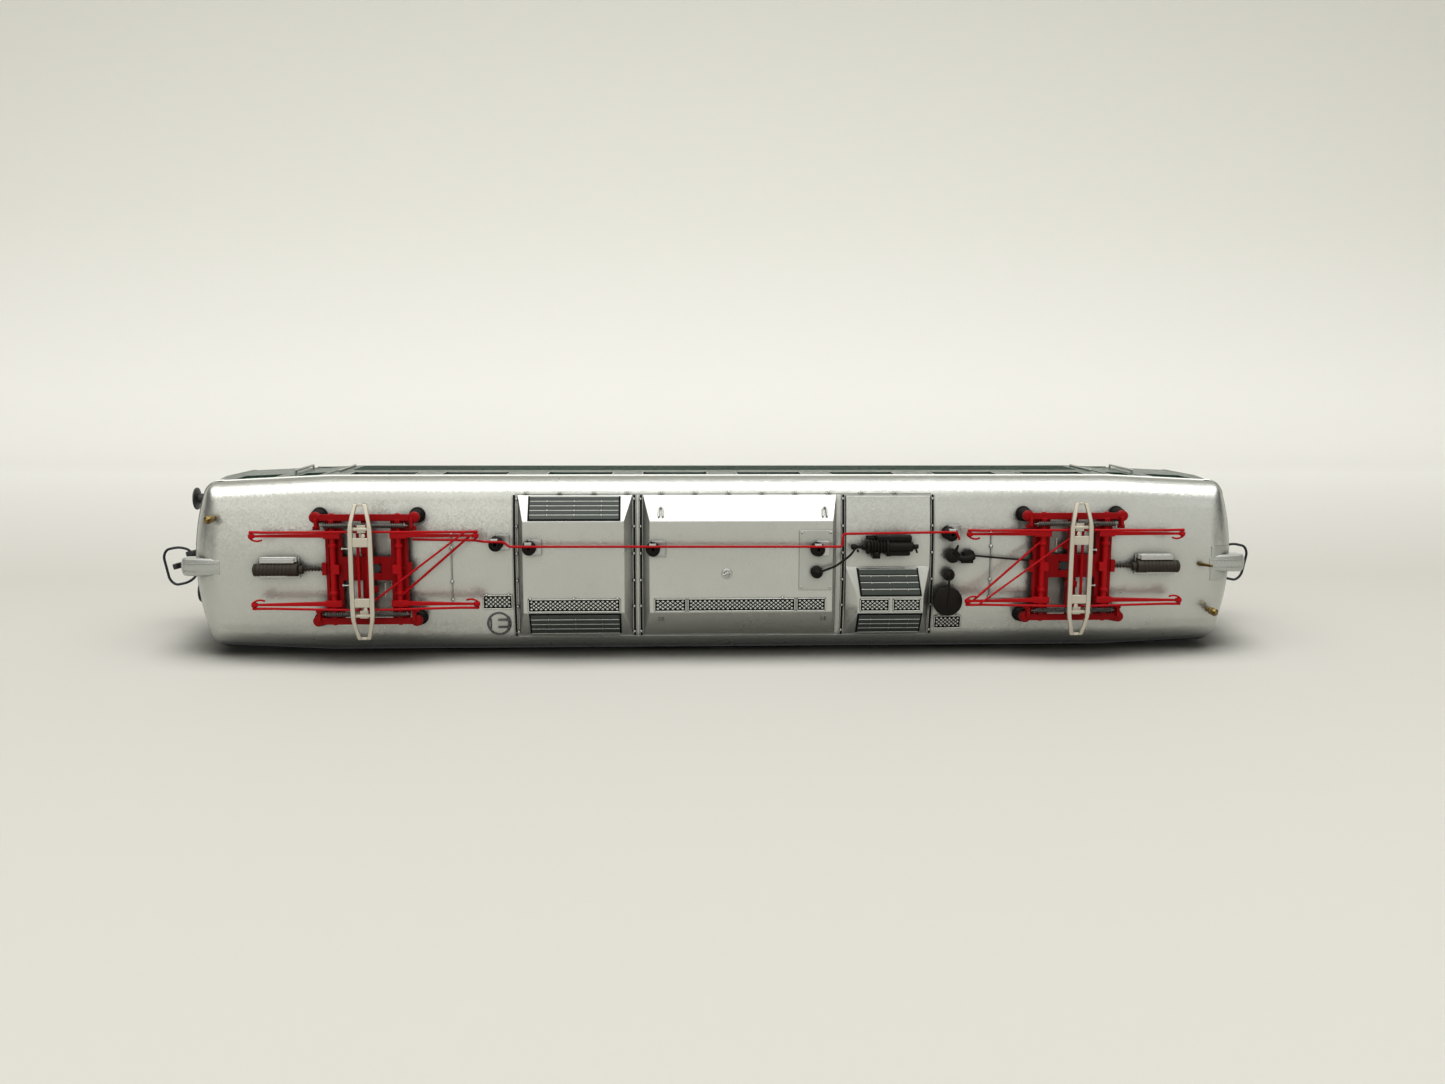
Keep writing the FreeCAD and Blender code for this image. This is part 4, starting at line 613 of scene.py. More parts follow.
def chequer(x0, x1, y0, y1, height, plate, pads):
    """Walkway plate: bright lozenge pads with dark grooves of painted shade between, height(x, y) is the
    surface below.
    """
    def laid(form):
        return form.mapped(lambda v: Vector((v.x, v.y, v.z + height(v.x, v.y))))
    plate.join(laid(Form().box(x0, x1, y0, y1, -0.3, 0.06)))
    rim = Form().box(x0, x1, y0, y0 + RIM, 0.0, 0.20).box(x0, x1, y1 - RIM, y1, 0.0, 0.20)
    rim.box(x0, x0 + RIM, y0, y1, 0.0, 0.20).box(x1 - RIM, x1, y0, y1, 0.0, 0.20)
    pads.join(laid(rim))
    columns = max(2, round((x1 - x0 - 0.4) / 0.9))
    rows = max(2, round((y1 - y0 - 0.4) / 0.8))
    step_x = (x1 - x0 - 0.4) / columns
    step_y = (y1 - y0 - 0.4) / rows
    lozenges = Form()
    for i in range(2 * columns - 1):
        for j in range(i % 2, 2 * rows - 1, 2):
            cx = x0 + 0.2 + (i + 1) * step_x / 2
            cy = y0 + 0.2 + (j + 1) * step_y / 2
            lozenges.loft([[(cx + dx * step_x * share, cy + dy * step_y * share, z) for dx, dy in LOZENGE]
                           for share, z in ((0.39, 0.0), (0.37, 0.12), (0.26, 0.20))])
    pads.join(laid(lozenges))


def pin_row(points, radius=0.22, height=0.28):
    """Round-topped pins."""
    form = Form()
    profile = [(radius, -0.3), (radius, height * 0.5), (radius * 0.75, height * 0.85), (radius * 0.3, height)]
    for point in points:
        form.lathe(profile, point, sides=12)
    return form


def gap_lines():
    """Dark strips of painted shade in the gaps between the roof and its lift-off hatches."""
    form = Form()
    for x in GAPS:
        form.join(strip(x - 0.2, x + 0.2, -14.1, 13.8, 0.05, columns=2, rows=20))
    return form


def seams():
    """Low lips beside the gaps, and the hinge line along the upper edge."""
    form = Form()
    for x in [gap + side * 0.3 for gap in GAPS for side in SIDES]:
        form.join(strip(x - 0.1, x + 0.1, -14.1, 13.8, 0.16, columns=2, rows=20))
    form.join(strip(-40.5, 40.8, 13.98, 14.14, 0.14, columns=40, rows=1))
    form.join(strip(-40.5, 40.8, -14.32, -14.16, 0.10, columns=40, rows=1))
    return form


def rear_panel():
    return strip(PANEL[0], PANEL[1], -6.0, 13.6, PANEL_LIFT, columns=8, rows=20)


def hatch_fittings():
    """Pins along the gaps, hinge knuckles and clips of the hatches."""
    form = Form()
    spots = []
    for x in GAPS:
        for y in PIN_YS:
            px = x + (0.45 if x < -20 else -0.1)
            spots.append((px, y, roof_height(px, y) + 0.14))
    form.join(pin_row(spots, 0.27, 0.3))
    for i in range(12):
        x = -38.4 + i * 6.55
        z = roof_height(x, 14.1) + 0.1
        form.tube([(x - 0.55, 14.1, z), (x + 0.55, 14.1, z)], 0.2, 8)
        form.lathe([(0.26, -0.3), (0.26, 0.16), (0.12, 0.28)], (x, 14.25, z), sides=10)
    clip = ((-0.4, 4.9, 0.0), (-0.4, 4.9, 0.4), (-0.35, 3.2, 0.4), (0.0, 2.9, 0.4), (0.35, 3.2, 0.4),
            (0.4, 4.9, 0.4), (0.4, 4.9, 0.0))
    for x in (-12.3, 19.6):
        place, _ = slope_frame(FOOT_Y, FOOT_Z, TOP_Y, HATCH_Z)
        form.tube([place(Vector((x + dx, up, out))) for dx, up, out in clip], 0.13, 8)
        place, _ = slope_frame(-FOOT_Y, FOOT_Z, -TOP_Y, HATCH_Z)
        for dx in (-0.35, 0.35):
            form.tube([place(Vector((x + dx, up, 0.1))) for up in (3.6, 4.6)], 0.14, 6)
    return form


def centre_screw():
    """Cross-headed screw in the middle of the middle hatch."""
    profile = [(1.0, -0.2), (1.0, 0.12), (0.85, 0.2), (0.62, 0.2), (0.55, 0.02), (0.5, 0.02), (0.42, 0.28),
               (0.05, 0.30)]
    form = Form().lathe(profile, (0.5, -1.3, HATCH_Z), sides=24)
    for turn in (0.0, 90.0):
        form.join(Form().box(-0.75, 0.75, -0.09, 0.09, 0.0, 0.34).turned(turn + 20).moved(0.5, -1.3, HATCH_Z))
    return form


def mounting_plates():
    """Thin plates under the insulators on the hatches."""
    z = HATCH_Z
    form = Form().box(14.6, 21.2, -4.6, 7.2, z - 0.2, z + 0.16)
    for x, y in ((-37.2, 3.9), (-13.3, 3.6)):
        form.box(x - 0.6, x + 2.0, y - 1.6, y + 1.6, z - 0.2, z + 0.14)
    form.join(pin_row([(x, y, z + 0.16) for y in (-4.1, 6.7) for x in (15.1, 20.7)], 0.2, 0.16))
    return form


def walkways():
    """Chequer plates on the hatches and beside them: a dark plate, painted shade in the grooves, under bright
    pads.
    """
    plate, pads = Form(), Form()
    for x0, x1 in ((-38.05, -20.2), (-13.6, -7.4), (-7.1, 13.9), (14.2, 19.9), (26.7, 32.5), (33.2, 38.7)):
        low, high = (-8.95, -6.45) if x0 > 25 else (-8.75, -6.2)
        chequer(x0, x1, low, high, lambda x, y: HATCH_Z, plate, pads)
    chequer(-47.0, -41.3, -8.5, -5.7, roof_height, plate, pads)
    chequer(42.0, 47.4, -13.0, -10.4, roof_height, plate, pads)
    for x, y in ((-37.6, -6.1), (-29.2, -6.1), (-20.8, -6.1), (11.4, -6.1), (-46.3, -5.6), (-42.0, -5.6),
                 (42.9, -10.3), (46.6, -10.3)):
        surface = HATCH_Z if -41 < x < 41 else roof_height(x, y)
        pads.join(pin_row([(x, y, surface + 0.05)], 0.24, 0.34))
    return plate, pads


def louvres_piece():
    """Grilles on the slopes of the front and rear hatches: dark frames and backs of painted shade, slats and
    bright beads.
    """
    parts = (Form(), Form(), Form())
    for side, slats in ((-1, 4), (1, 5)):
        slope = slope_frame(side * FOOT_Y, FOOT_Z, side * TOP_Y, HATCH_Z)
        louvre(-37.7, -20.3, slope, slats, parts, side > 0)
    slope = slope_frame(-FOOT_Y - 0.1, FOOT_Z - 0.05, REAR_TOP[0], HATCH_Z)
    louvre(26.5, 38.9, slope, 4, parts, False)
    slope = slope_frame(REAR_FOOT[0], REAR_FOOT[1], REAR_TOP[1], HATCH_Z)
    louvre(26.3, 38.0, slope, 4, parts, True, 0.4, 0.7, 0.13)
    return parts


def round_hatch():
    """Flush round cover with a ring groove and an E-shaped handle."""
    x, y = -44.0, -11.5
    form = Form()
    for radius in (2.3, 2.05):
        ring = [(x + radius * c, y + radius * s) for c, s in circle(48)]
        form.tube([(px, py, roof_height(px, py) + 0.03) for px, py in ring], 0.09, 6, closed=True)
    # bars of the handle: radius, then both ends as (step along, step across, height above the roof)
    bars = ((0.14, (-0.2, -0.75, 0.25), (2.2, -0.75, 0.3)), (0.14, (-0.2, 0.75, 0.25), (2.2, 0.75, 0.3)),
            (0.14, (1.9, -1.3, 0.2), (1.9, 1.3, 0.2)), (0.12, (-1.6, -1.0, 0.1), (-1.6, 1.0, 0.1)))
    for radius, *ends in bars:
        form.tube([(x + dx, y + dy, roof_height(x, y + dy) + lift) for dx, dy, lift in ends], radius, 8)
    return form


def air_pipes():
    """Thin pipes across the roof beside each pantograph, with their clips."""
    form = Form()
    for end in SIDES:
        x = 52.8 * end
        ys = [6.8 - 13.8 * i / 10 for i in range(11)]
        pipe = [(x, y, roof_height(x, y) + 0.16) for y in ys]
        if end > 0:
            pipe = [(60.5, 6.9, roof_height(60, 7) + 0.16)] + pipe + [(60.5, -7.0, roof_height(60, 7) + 0.16)]
        form.tube(pipe, 0.10, 8)
        for y in (6.2, 3.6, -3.0, -6.6):
            form.lathe([(0.34, -0.2), (0.34, 0.25), (0.18, 0.36)], (x, y, roof_height(x, y)), sides=12)
    return form


def fairings():
    """Flat lamp housings at the roof ends, with two ridges along each."""
    form = Form()
    rings = []
    for x, width, top in ((96.7, 1.3, 42.2), (97.1, 1.65, 42.5), (103.4, 1.75, 42.2), (104.2, 1.7, 41.7),
                          (104.58, 1.5, 41.2)):
        left = [(-width, 39.2), (-width, top - 0.45), (-width + 0.28, top - 0.08), (-width + 0.6, top)]
        rings.append([(x, y, z) for y, z in left + [(-y, z) for y, z in reversed(left)]])
    form.loft(rings)
    for y in (-0.75, 0.75):
        section = ((-0.09, -0.3), (0.09, -0.3), (0.06, 0.12), (-0.06, 0.12))
        form.loft([[(x, y + dy, z + dz) for dy, dz in section]
                   for x, z in ((97.4, 42.45), (103.3, 42.2), (104.1, 41.75))])
    return form.both(0)


def end_plate():
    return strip(97.3, 101.8, -3.4, 3.5, 0.07, 0.3)


# ------------------------------------------------------------------ roof electrics
CONDUCTOR_Z = 46.2
CONDUCTOR = [(-59.9, 5.6, 44.2), (-48.2, 5.4, 44.2), (-46.0, 5.4, 46.2), (-42.2, 5.3, 46.2),
             (-41.3, 4.4, 46.2), (22.7, 4.2, 46.2), (22.9, 6.7, 46.2), (45.0, 7.0, 46.2), (45.6, 5.5, 46.1)]
POSTS = ((-44.0, 4.6), (-37.6, 3.9), (-13.8, 3.6), (18.2, 3.5), (44.3, 6.3))


def rounded_path(points, radius, steps=5):
    """Path whose corners are turned with a small bend."""
    path = [Vector(points[0])]
    for before, corner, after in zip(points, points[1:], points[2:]):
        p, c, q = Vector(before), Vector(corner), Vector(after)
        r = min(radius, (c - p).length * 0.45, (q - c).length * 0.45)
        a = c + (p - c).normalized() * r
        b = c + (q - c).normalized() * r
        for i in range(steps + 1):
            t = i / steps
            path.append(a * (1 - t) ** 2 + c * 2 * t * (1 - t) + b * t * t)
    path.append(Vector(points[-1]))
    return path


def shed_profile(height, radius, sheds):
    profile = [(radius * 0.62, 0.0)]
    for i in range(sheds):
        low = height * (0.10 + 0.84 * i / sheds)
        step = 0.84 * height / sheds
        profile += [(radius * 0.58, low), (radius * 0.96, low + 0.22 * step), (radius, low + 0.38 * step),
                    (radius * 0.9, low + 0.55 * step), (radius * 0.55, low + 0.8 * step)]
    profile += [(radius * 0.5, height * 0.96), (radius * 0.42, height)]
    return profile


def insulators():
    form = Form()
    for x, y in POSTS:
        foot = HATCH_Z if -39 < x < 21 else roof_height(x, y) - 0.2
        top = CONDUCTOR_Z - 0.2
        form.lathe([(1.45, 0.0), (1.45, 0.22), (1.2, 0.3)], (x, y, foot), sides=28)
        form.lathe(shed_profile(top - foot - 0.2, 1.32, 3), (x, y, foot + 0.2), sides=32)
    form.lathe(shed_profile(1.6, 1.15, 3), (18.0, -1.0, HATCH_Z), sides=28)
    for _, end in ENDS:
        for dx in (-9.3, 9.3):
            for side in SIDES:
                x, y = end * 68.5 + dx, side * 10.0
                foot = roof_height(x, y) - 0.2
                form.lathe([(1.55, 0.0), (1.55, 0.35), (1.3, 0.45)], (x, y, foot), sides=28)
                form.lathe(shed_profile(44.5 - foot - 0.3, 1.3, 3), (x, y, foot + 0.3), sides=28)
    return form


def conductor_wire():
    return Form().tube(rounded_path(CONDUCTOR, 0.5), 0.24, 10)


def conductor_clamps():
    """Small bright clamps that hold the conductor on its posts."""
    form = Form()
    for x, y in POSTS:
        foot = (HATCH_Z if -39 < x < 21 else roof_height(x, y)) - 0.1
        form.box(x - 0.2, x + 2.3, y - 1.3, y + 1.6, foot, foot + 0.35)
        form.box(x - 0.75, x + 0.55, y + 0.75, y + 1.25, CONDUCTOR_Z - 0.75, CONDUCTOR_Z + 0.12)
        form.box(x - 0.25, x + 0.25, y - 0.2, y + 0.9, CONDUCTOR_Z - 0.7, CONDUCTOR_Z - 0.2)
    return form


def breaker():
    """Air-blast breaker: ribbed chamber, valve block, link and feet."""
    form = Form()
    y, z = 4.0, 45.0
    chamber = [(0.7, 27.4), (1.2, 27.5), (1.45, 27.7), (1.45, 28.1)]
    for i in range(5):
        low = 28.3 + i * 0.6
        chamber += [(1.05, low), (1.35, low + 0.18), (1.35, low + 0.36), (1.05, low + 0.5)]
    chamber += [(1.45, 31.5), (1.45, 31.9), (1.0, 32.0), (1.0, 36.6), (0.7, 36.8), (0.45, 37.0), (0.45, 37.8)]
    form.lathe(chamber, (0, y, z), ALONG, 28)
    nose = [(0.3, 24.6), (0.55, 24.8), (0.55, 25.6), (0.35, 25.8), (0.35, 26.6), (0.6, 26.8), (0.6, 27.5)]
    form.lathe(nose, (0, y, z), ALONG, 20)
    form.lathe([(0.5, 29.6), (0.78, 29.8), (0.78, 36.3), (0.5, 36.5)], (0, y + 1.55, z - 0.3), ALONG, 20)
    form.lathe([(0.4, 31.8), (0.55, 32.0), (0.55, 36.0), (0.4, 36.2)], (0, y - 1.3, z - 0.2), ALONG, 20)
    form.box(28.8, 30.3, y - 2.3, y - 0.6, 43.6, 45.5)
    form.box(31.6, 32.4, y - 1.9, y + 2.2, 43.4, 45.2)
    form.box(35.3, 36.1, y - 1.6, y + 2.1, 43.4, 45.0)
    form.lathe([(0.25, 0.0), (0.5, 0.1), (0.5, 0.7), (0.2, 0.9)], (29.5, y - 1.4, 45.4), sides=14)
    form.tube([(36.4, y + 0.2, z), (37.3, y - 0.5, z + 0.3), (37.6, y - 1.2, z)], 0.2, 8)
    for x in (28.8, 34.9):
        form.box(x - 0.6, x + 0.6, y - 1.2, y + 1.6, 42.6, 43.6)
    form.box(27.9, 36.6, y - 1.5, y + 1.9, 42.5, 42.95)
    link = rounded_path([(25.6, y - 0.1, z), (24.4, 2.4, 45.7), (21.6, 0.4, 46.0), (18.0, -1.0, 45.95)], 0.8)
    form.tube(link, 0.24, 8)
    form.lathe([(0.55, 0.0), (0.6, 0.12), (0.3, 0.35)], (18.0, -1.0, 45.7), sides=16)
    form.tube([(25.9, y - 0.6, z), (25.9, y - 0.9, z + 0.6)], 0.22, 8)
    return form


def transformer():
    """Bushing disc, small disc, link rod, arrester and lead-through beside the rear hatch."""
    form = Form()
    z = roof_height(44, -7) - 0.1
    bushing = [(2.2, z), (2.2, 43.0), (1.7, 43.1), (1.7, 43.5), (2.3, 43.6), (2.3, 43.8), (1.8, 43.9),
               (1.8, 44.1), (2.85, 44.2), (2.92, 44.45), (2.85, 44.75), (2.5, 44.9),
               (0.6, 44.98), (0.3, 45.05)]
    form.lathe(bushing, (44.0, -7.0, 0), sides=44)
    small = [(0.75, z), (0.75, 43.4), (1.15, 43.5), (1.22, 43.8), (1.15, 44.2), (0.5, 44.35), (0.3, 44.5)]
    form.lathe(small, (44.2, -1.8, 0), sides=28)
    form.tube([(44.0, -8.6, 45.0), (44.0, -7.0, 45.12), (44.2, -1.8, 44.55)], 0.2, 8)
    arrester = [(0.8, z), (0.8, 43.2), (1.35, 43.4), (1.35, 43.7), (0.85, 43.85), (0.85, 44.0), (1.38, 44.15),
                (1.38, 44.55), (0.8, 44.75), (0.4, 45.0)]
    form.lathe(arrester, (44.8, 2.0, 0), sides=28)
    form.tube([(45.0, 2.6, 44.9), (45.6, 4.3, 45.3)], [0.42, 0.2], 10)
    form.lathe([(0.9, z), (0.9, 43.3), (1.2, 43.5), (1.1, 43.9), (0.5, 44.1)], (48.2, 2.0, 0), sides=24)
    lead = [(45.8, 1.7, 44.2), (47.0, 1.4, 44.2), (48.4, 1.5, 44.1), (49.3, 1.6, 44.0)]
    form.tube(lead, [0.5, 0.62, 0.7, 0.3], 12)
    form.box(46.6, 49.0, 0.5, 1.3, 43.5, 43.95)
    form.tube(rounded_path([(48.4, 2.1, 44.1), (52.0, 1.75, 44.05), (60.4, 1.0, 43.9)], 0.6), 0.2, 8)
    return form


def drives():
    """Pantograph drive: ribbed air cylinder on a cradle, with its pointed bellows rod."""
    form = Form()
    z = 43.95
    barrel = [(0.75, 81.5), (1.2, 81.7), (1.25, 82.2)]
    for i in range(10):
        low = 82.4 + i * 0.72
        barrel += [(1.2, low), (1.2, low + 0.5), (1.12, low + 0.56), (1.12, low + 0.68)]
    barrel += [(1.25, 89.6), (1.2, 90.0), (0.8, 90.2)]
    form.lathe(barrel, (0, -0.25, z), ALONG, 28)
    form.lathe([(0.5, 80.6), (0.85, 80.8), (0.85, 81.4), (0.6, 81.6)], (0, -0.25, z), ALONG, 20)
    form.box(81.9, 84.0, -1.6, 1.3, 42.3, 43.6)
    form.box(87.2, 89.0, -1.4, 1.1, 42.3, 43.6)
    bellows = [(0.16, 76.4), (0.26, 76.8)]
    for i in range(6):
        low = 77.0 + i * 0.6
        bellows += [(0.24, low), (0.44, low + 0.2), (0.44, low + 0.34), (0.24, low + 0.5)]
    bellows += [(0.3, 80.7)]
    form.lathe(bellows, (0, -0.15, z - 0.1), ALONG, 14)
    return form.both(0)


def drive_plates():
    """Bright cover plate beside each drive cylinder."""
    form = Form().box(82.4, 88.9, 1.05, 1.95, 42.2, 44.3)
    form.box(81.8, 89.4, -2.0, 2.05, 42.0, 42.75)
    form.box(82.0, 82.5, 1.2, 2.2, 42.7, 43.8)
    return form.both(0)


def whistle(x, y):
    z = roof_height(x, y)
    profile = ((0.5, -0.3), (0.5, 0.25), (0.3, 0.3), (0.3, 1.2), (0.62, 1.4), (0.74, 1.6), (0.74, 2.1),
               (0.55, 2.2), (0.55, 2.5), (0.74, 2.6), (0.74, 3.3), (0.4, 3.6), (0.25, 3.9))
    return Form().lathe([(radius, z + height) for radius, height in profile], (x, y, 0), sides=22)


def whistles_piece():
    """Turned whistle at each end, and the leaning pin."""
    form = whistle(-97.9, 9.5).join(whistle(97.5, -9.4))
    pin = [(95.0, 0, 42.0), (95.0, 0, 42.9), (95.5, 0, 44.0), (96.2, 0, 45.5)]
    return form.tube(pin, [0.45, 0.42, 0.32, 0.26], 12)


# ------------------------------------------------------------------ pantographs
SHAFT_X = 6.2
PIVOT_Z = 45.3
REST = math.radians(4.0)
KNEE_X = SHAFT_X + 14.8 * math.cos(REST)
KNEE_Z = PIVOT_Z + 14.8 * math.sin(REST)
HEAD_PIN_X = 0.9
HEAD_PIN_Z = KNEE_Z + 20.1 * math.sin(REST * 0.855)
ARM_Y = 6.6
UPPER_Y = 7.3
HEAD_Z = 49.2


def bar(section0, section1):
    """Bar between two rectangles, each (x, y0, y1, z0, z1)."""
    rings = []
    for x, y0, y1, z0, z1 in (section0, section1):
        rings.append([(x, y0, z0), (x, y1, z0), (x, y1, z1), (x, y0, z1)])
    return Form().loft(rings)


def panto_base():
    """Base frame: rails with eyes, two channel cross members, middle rib, plate and spring anchors."""
    form = Form()
    rail = Form()
    rail.box(-8.7, 8.7, 9.55, 10.45, 44.55, 45.7)
    rail.box(-8.7, 8.7, 9.35, 10.65, 45.45, 45.75)
    eye = [(0.85, 44.45), (1.05, 44.6), (1.05, 45.7), (0.8, 45.95), (0.35, 46.0)]
    for s in SIDES:
        rail.lathe(eye, (s * 9.3, 10.0, 0), sides=24)
        rail.box(s * 8.65, s * 9.25, 8.1, 9.9, 44.9, 46.6)
        rail.box(s * 8.5, s * 9.7, 7.6, 8.3, 44.9, 45.9)
        rail.box(s * 5.7, s * 6.7, 8.1, 9.6, 44.4, 45.9)
    form.join(rail.both(1))
    member = Form()
    member.box(4.6, 7.8, -9.9, 9.9, 43.7, 44.1)
    member.box(4.6, 5.5, -9.9, 9.9, 43.9, 44.55)
    member.box(7.1, 7.8, -9.9, 9.9, 43.9, 44.45)
    member.box(6.0, 6.3, -6.0, 6.0, 44.0, 44.35)
    for y in (-4.2, 0.0, 4.2):
        member.box(5.4, 7.2, y - 0.25, y + 0.25, 44.0, 44.4)
    form.join(member.both(0))
    form.box(-1.0, 1.0, -9.9, 9.9, 43.75, 44.25)
    form.box(-0.5, -0.1, -9.6, 9.6, 44.0, 44.6)
    for x0, x1, y0, y1 in ((-4.7, 0.6, -2.3, 2.3), (2.6, 4.7, -2.3, 2.3), (0.6, 2.6, 0.9, 2.3),
                           (0.6, 2.6, -2.3, -0.9)):
        form.box(x0, x1, y0, y1, 44.0, 44.5)
    form.box(-2.6, -1.6, -1.6, 1.6, 44.4, 44.95)
    form.box(-1.0, 1.2, 3.0, 4.2, 44.1, 45.1)
    form.box(0.2, 2.0, -4.6, -3.4, 44.1, 44.9)
    form.box(7.6, 8.5, -1.2, 1.2, 43.9, 44.9)
    return form.box(-8.5, -7.6, -1.2, 1.2, 43.9, 44.9)


def panto_recess():
    """Black disc of painted shade in the recess in the middle of the base frame."""
    return Form().lathe([(0.95, 43.8), (0.95, 44.25), (0.6, 44.3)], (1.6, 0, 0), sides=20)


def panto_rods():
    """Thin bright cross rods of the base frame."""
    form = Form()
    form.tube([(-1.6, -3.4, 45.2), (-1.6, 5.8, 45.2)], 0.16, 8)
    form.tube([(3.4, -5.6, 44.9), (3.4, -2.8, 44.9)], 0.16, 8)
    for y in (-3.2, 3.9):
        form.tube([(-4.6, y, 44.7), (-3.0, y, 44.7)], 0.15, 8)
        form.lathe([(0.3, -4.7), (0.3, -4.45)], (0, y, 44.7), ALONG, 12)
    return form


def coil(x0, x1, y, z, radius, wire, turns):
    """Coil spring along the track, with its straight ends."""
    winding = circle(12) * turns + [(1.0, 0.0)]
    count = len(winding) - 1
    points = [(x0 + (x1 - x0) * i / count, y + radius * c, z + radius * s)
              for i, (c, s) in enumerate(winding)]
    ends = [(x0 - 0.7, y, z), (x0 - 0.25, y, z)], [(x1 + 0.25, y, z), (x1 + 0.7, y, z)]
    return Form().tube(ends[0] + points + ends[1], wire, 6)


def panto_springs():
    form = Form()
    for y in (-8.55, 8.55):
        form.join(coil(-7.6, 7.6, y, 46.27, 0.42, 0.11, 42))
        form.tube([(-7.9, y, 46.27), (7.9, y, 46.27)], 0.26, 10)
    return form


def lower_arm(side):
    """Tapered arm from the shaft out to the knee eye, for the +X half."""
    y = side * ARM_Y
    form = bar((SHAFT_X - 0.2, y - 0.42, y + 0.42, PIVOT_Z - 0.55, PIVOT_Z + 0.62),
               (KNEE_X - 0.5, y - 0.22, y + 0.22, KNEE_Z - 0.26, KNEE_Z + 0.26))
    block = Form().box(SHAFT_X - 1.5, SHAFT_X + 1.6, y - 0.62, y + 0.62, PIVOT_Z - 0.62, PIVOT_Z + 0.72)
    form.join(block)
    form.lathe([(0.6, -0.36), (0.62, -0.3), (0.62, 0.3), (0.6, 0.36)], (KNEE_X, y, KNEE_Z), ACROSS, 20)
    hook = [(KNEE_X + 0.35, y - side * 0.3, KNEE_Z + 0.1), (KNEE_X - 0.2, y - side * 0.75, KNEE_Z + 0.2),
            (KNEE_X - 1.1, y - side * 1.0, KNEE_Z + 0.15), (KNEE_X - 2.0, y - side * 0.75, KNEE_Z + 0.05)]
    form.tube(rounded_path(hook, 0.4, 3), 0.2, 8)
    return form


def lower_half(braced):
    """Lower frame of one half: shaft, two arms and, on one half only, the brace."""
    form = Form()
    form.lathe([(0.42, -10.8), (0.42, -7.9), (0.55, -7.8), (0.55, 7.8), (0.42, 7.9), (0.42, 10.8)],
               (SHAFT_X, 0, PIVOT_Z), ACROSS, 20)
    for side in SIDES:
        form.join(lower_arm(side))
        collar = (SHAFT_X, side * 4.6, PIVOT_Z)
        form.lathe([(0.72, -0.35), (0.78, -0.25), (0.78, 0.25), (0.72, 0.35)], collar, ACROSS, 20)
    form.box(SHAFT_X - 1.2, SHAFT_X + 0.2, -0.9, 0.9, PIVOT_Z - 0.5, PIVOT_Z + 0.5)
    if braced:
        form.tube([(SHAFT_X + 0.2, -5.2, PIVOT_Z), (KNEE_X - 1.0, ARM_Y, KNEE_Z - 0.1)], 0.24, 10)
    return form


def upper_half(braced):
    """Upper frame of one half: two rods from the knees to the head pin."""
    form = Form()
    for side in SIDES:
        knee = (KNEE_X + 0.3, side * (UPPER_Y + 0.05), KNEE_Z)
        near = (KNEE_X - 3.0, side * UPPER_Y, KNEE_Z + 0.18)
        form.tube([knee, near, (HEAD_PIN_X, side * 7.5, HEAD_PIN_Z)], [0.27, 0.25, 0.22], 10)
        pin = [(KNEE_X, side * (ARM_Y - 0.6), KNEE_Z), (KNEE_X, side * (UPPER_Y + 0.28), KNEE_Z)]
        form.tube(pin, 0.25, 10)
        eye = [(0.42, -0.22), (0.46, -0.14), (0.46, 0.14), (0.42, 0.22)]
        form.lathe(eye, (KNEE_X, side * UPPER_Y, KNEE_Z), ACROSS, 16)
    form.tube([(HEAD_PIN_X, -8.7, HEAD_PIN_Z), (HEAD_PIN_X, 8.7, HEAD_PIN_Z)], 0.28, 12)
    if braced:
        slope = (HEAD_PIN_Z - KNEE_Z) / (HEAD_PIN_X - KNEE_X)
        x = KNEE_X - 2.0
        foot = (x, UPPER_Y, KNEE_Z + slope * (x - KNEE_X) + 0.3)
        form.tube([foot, (HEAD_PIN_X, -6.4, HEAD_PIN_Z)], 0.2, 10)
    return form


def head():
    """Collector head: twin strips drawn in to the horns, cross plates and pivot brackets."""
    strip_path = [(-13.0, 0.75, -0.85), (-12.6, 0.95, -0.72), (-11.0, 1.35, -0.32), (-9.2, 1.72, -0.02),
                  (-8.2, 1.80, 0.0), (-5.0, 1.84, 0.0), (0.0, 1.86, 0.0)]
    rings = []
    for y, x, dz in strip_path + [(-y, x, dz) for y, x, dz in reversed(strip_path[:-1])]:
        wide = 0.46 if abs(y) < 9 else 0.40
        low, high = HEAD_Z + dz, HEAD_Z + dz + 0.48
        rings.append([(x - wide, y, low), (x + wide, y, low), (x + wide * 0.9, y, high),
                      (x - wide * 0.9, y, high)])
    form = Form().loft(rings).both(0)
    for side in SIDES:
        form.box(-1.2, 1.2, side * 12.5, side * 13.0, HEAD_Z - 0.85, HEAD_Z - 0.40)
        form.box(-1.5, 1.5, side * 4.9, side * 6.6, HEAD_Z + 0.04, HEAD_Z + 0.40)
        for x in (-1.7, 1.4):
            form.box(x, x + 0.3, side * 8.0, side * 8.5, HEAD_PIN_Z - 0.2, HEAD_Z + 0.2)
        form.box(-1.7, 1.7, side * 8.0, side * 8.5, HEAD_PIN_Z + 0.62, HEAD_Z + 0.1)
    return form


def head_plates():
    """Bright spring plates of the head, between its pivots."""
    form = Form()
    for side in SIDES:
        form.box(-0.75, 0.85, side * 7.4, side * 8.9, HEAD_PIN_Z + 0.75, HEAD_PIN_Z + 1.0)
        form.lathe([(0.4, 0.0), (0.4, 0.1)], (0.6, side * 7.0, HEAD_Z + 0.3), sides=12)
    return form


def placed(form, end):
    form = form if end < 0 else form.turned(180)
    return form.moved(end * 68.5)


# ------------------------------------------------------------------ couplings and buffers
def coupler_place(form, end):
    heading = -11.5 if end > 0 else 191.5
    return form.turned(heading).moved(end * 93.0)


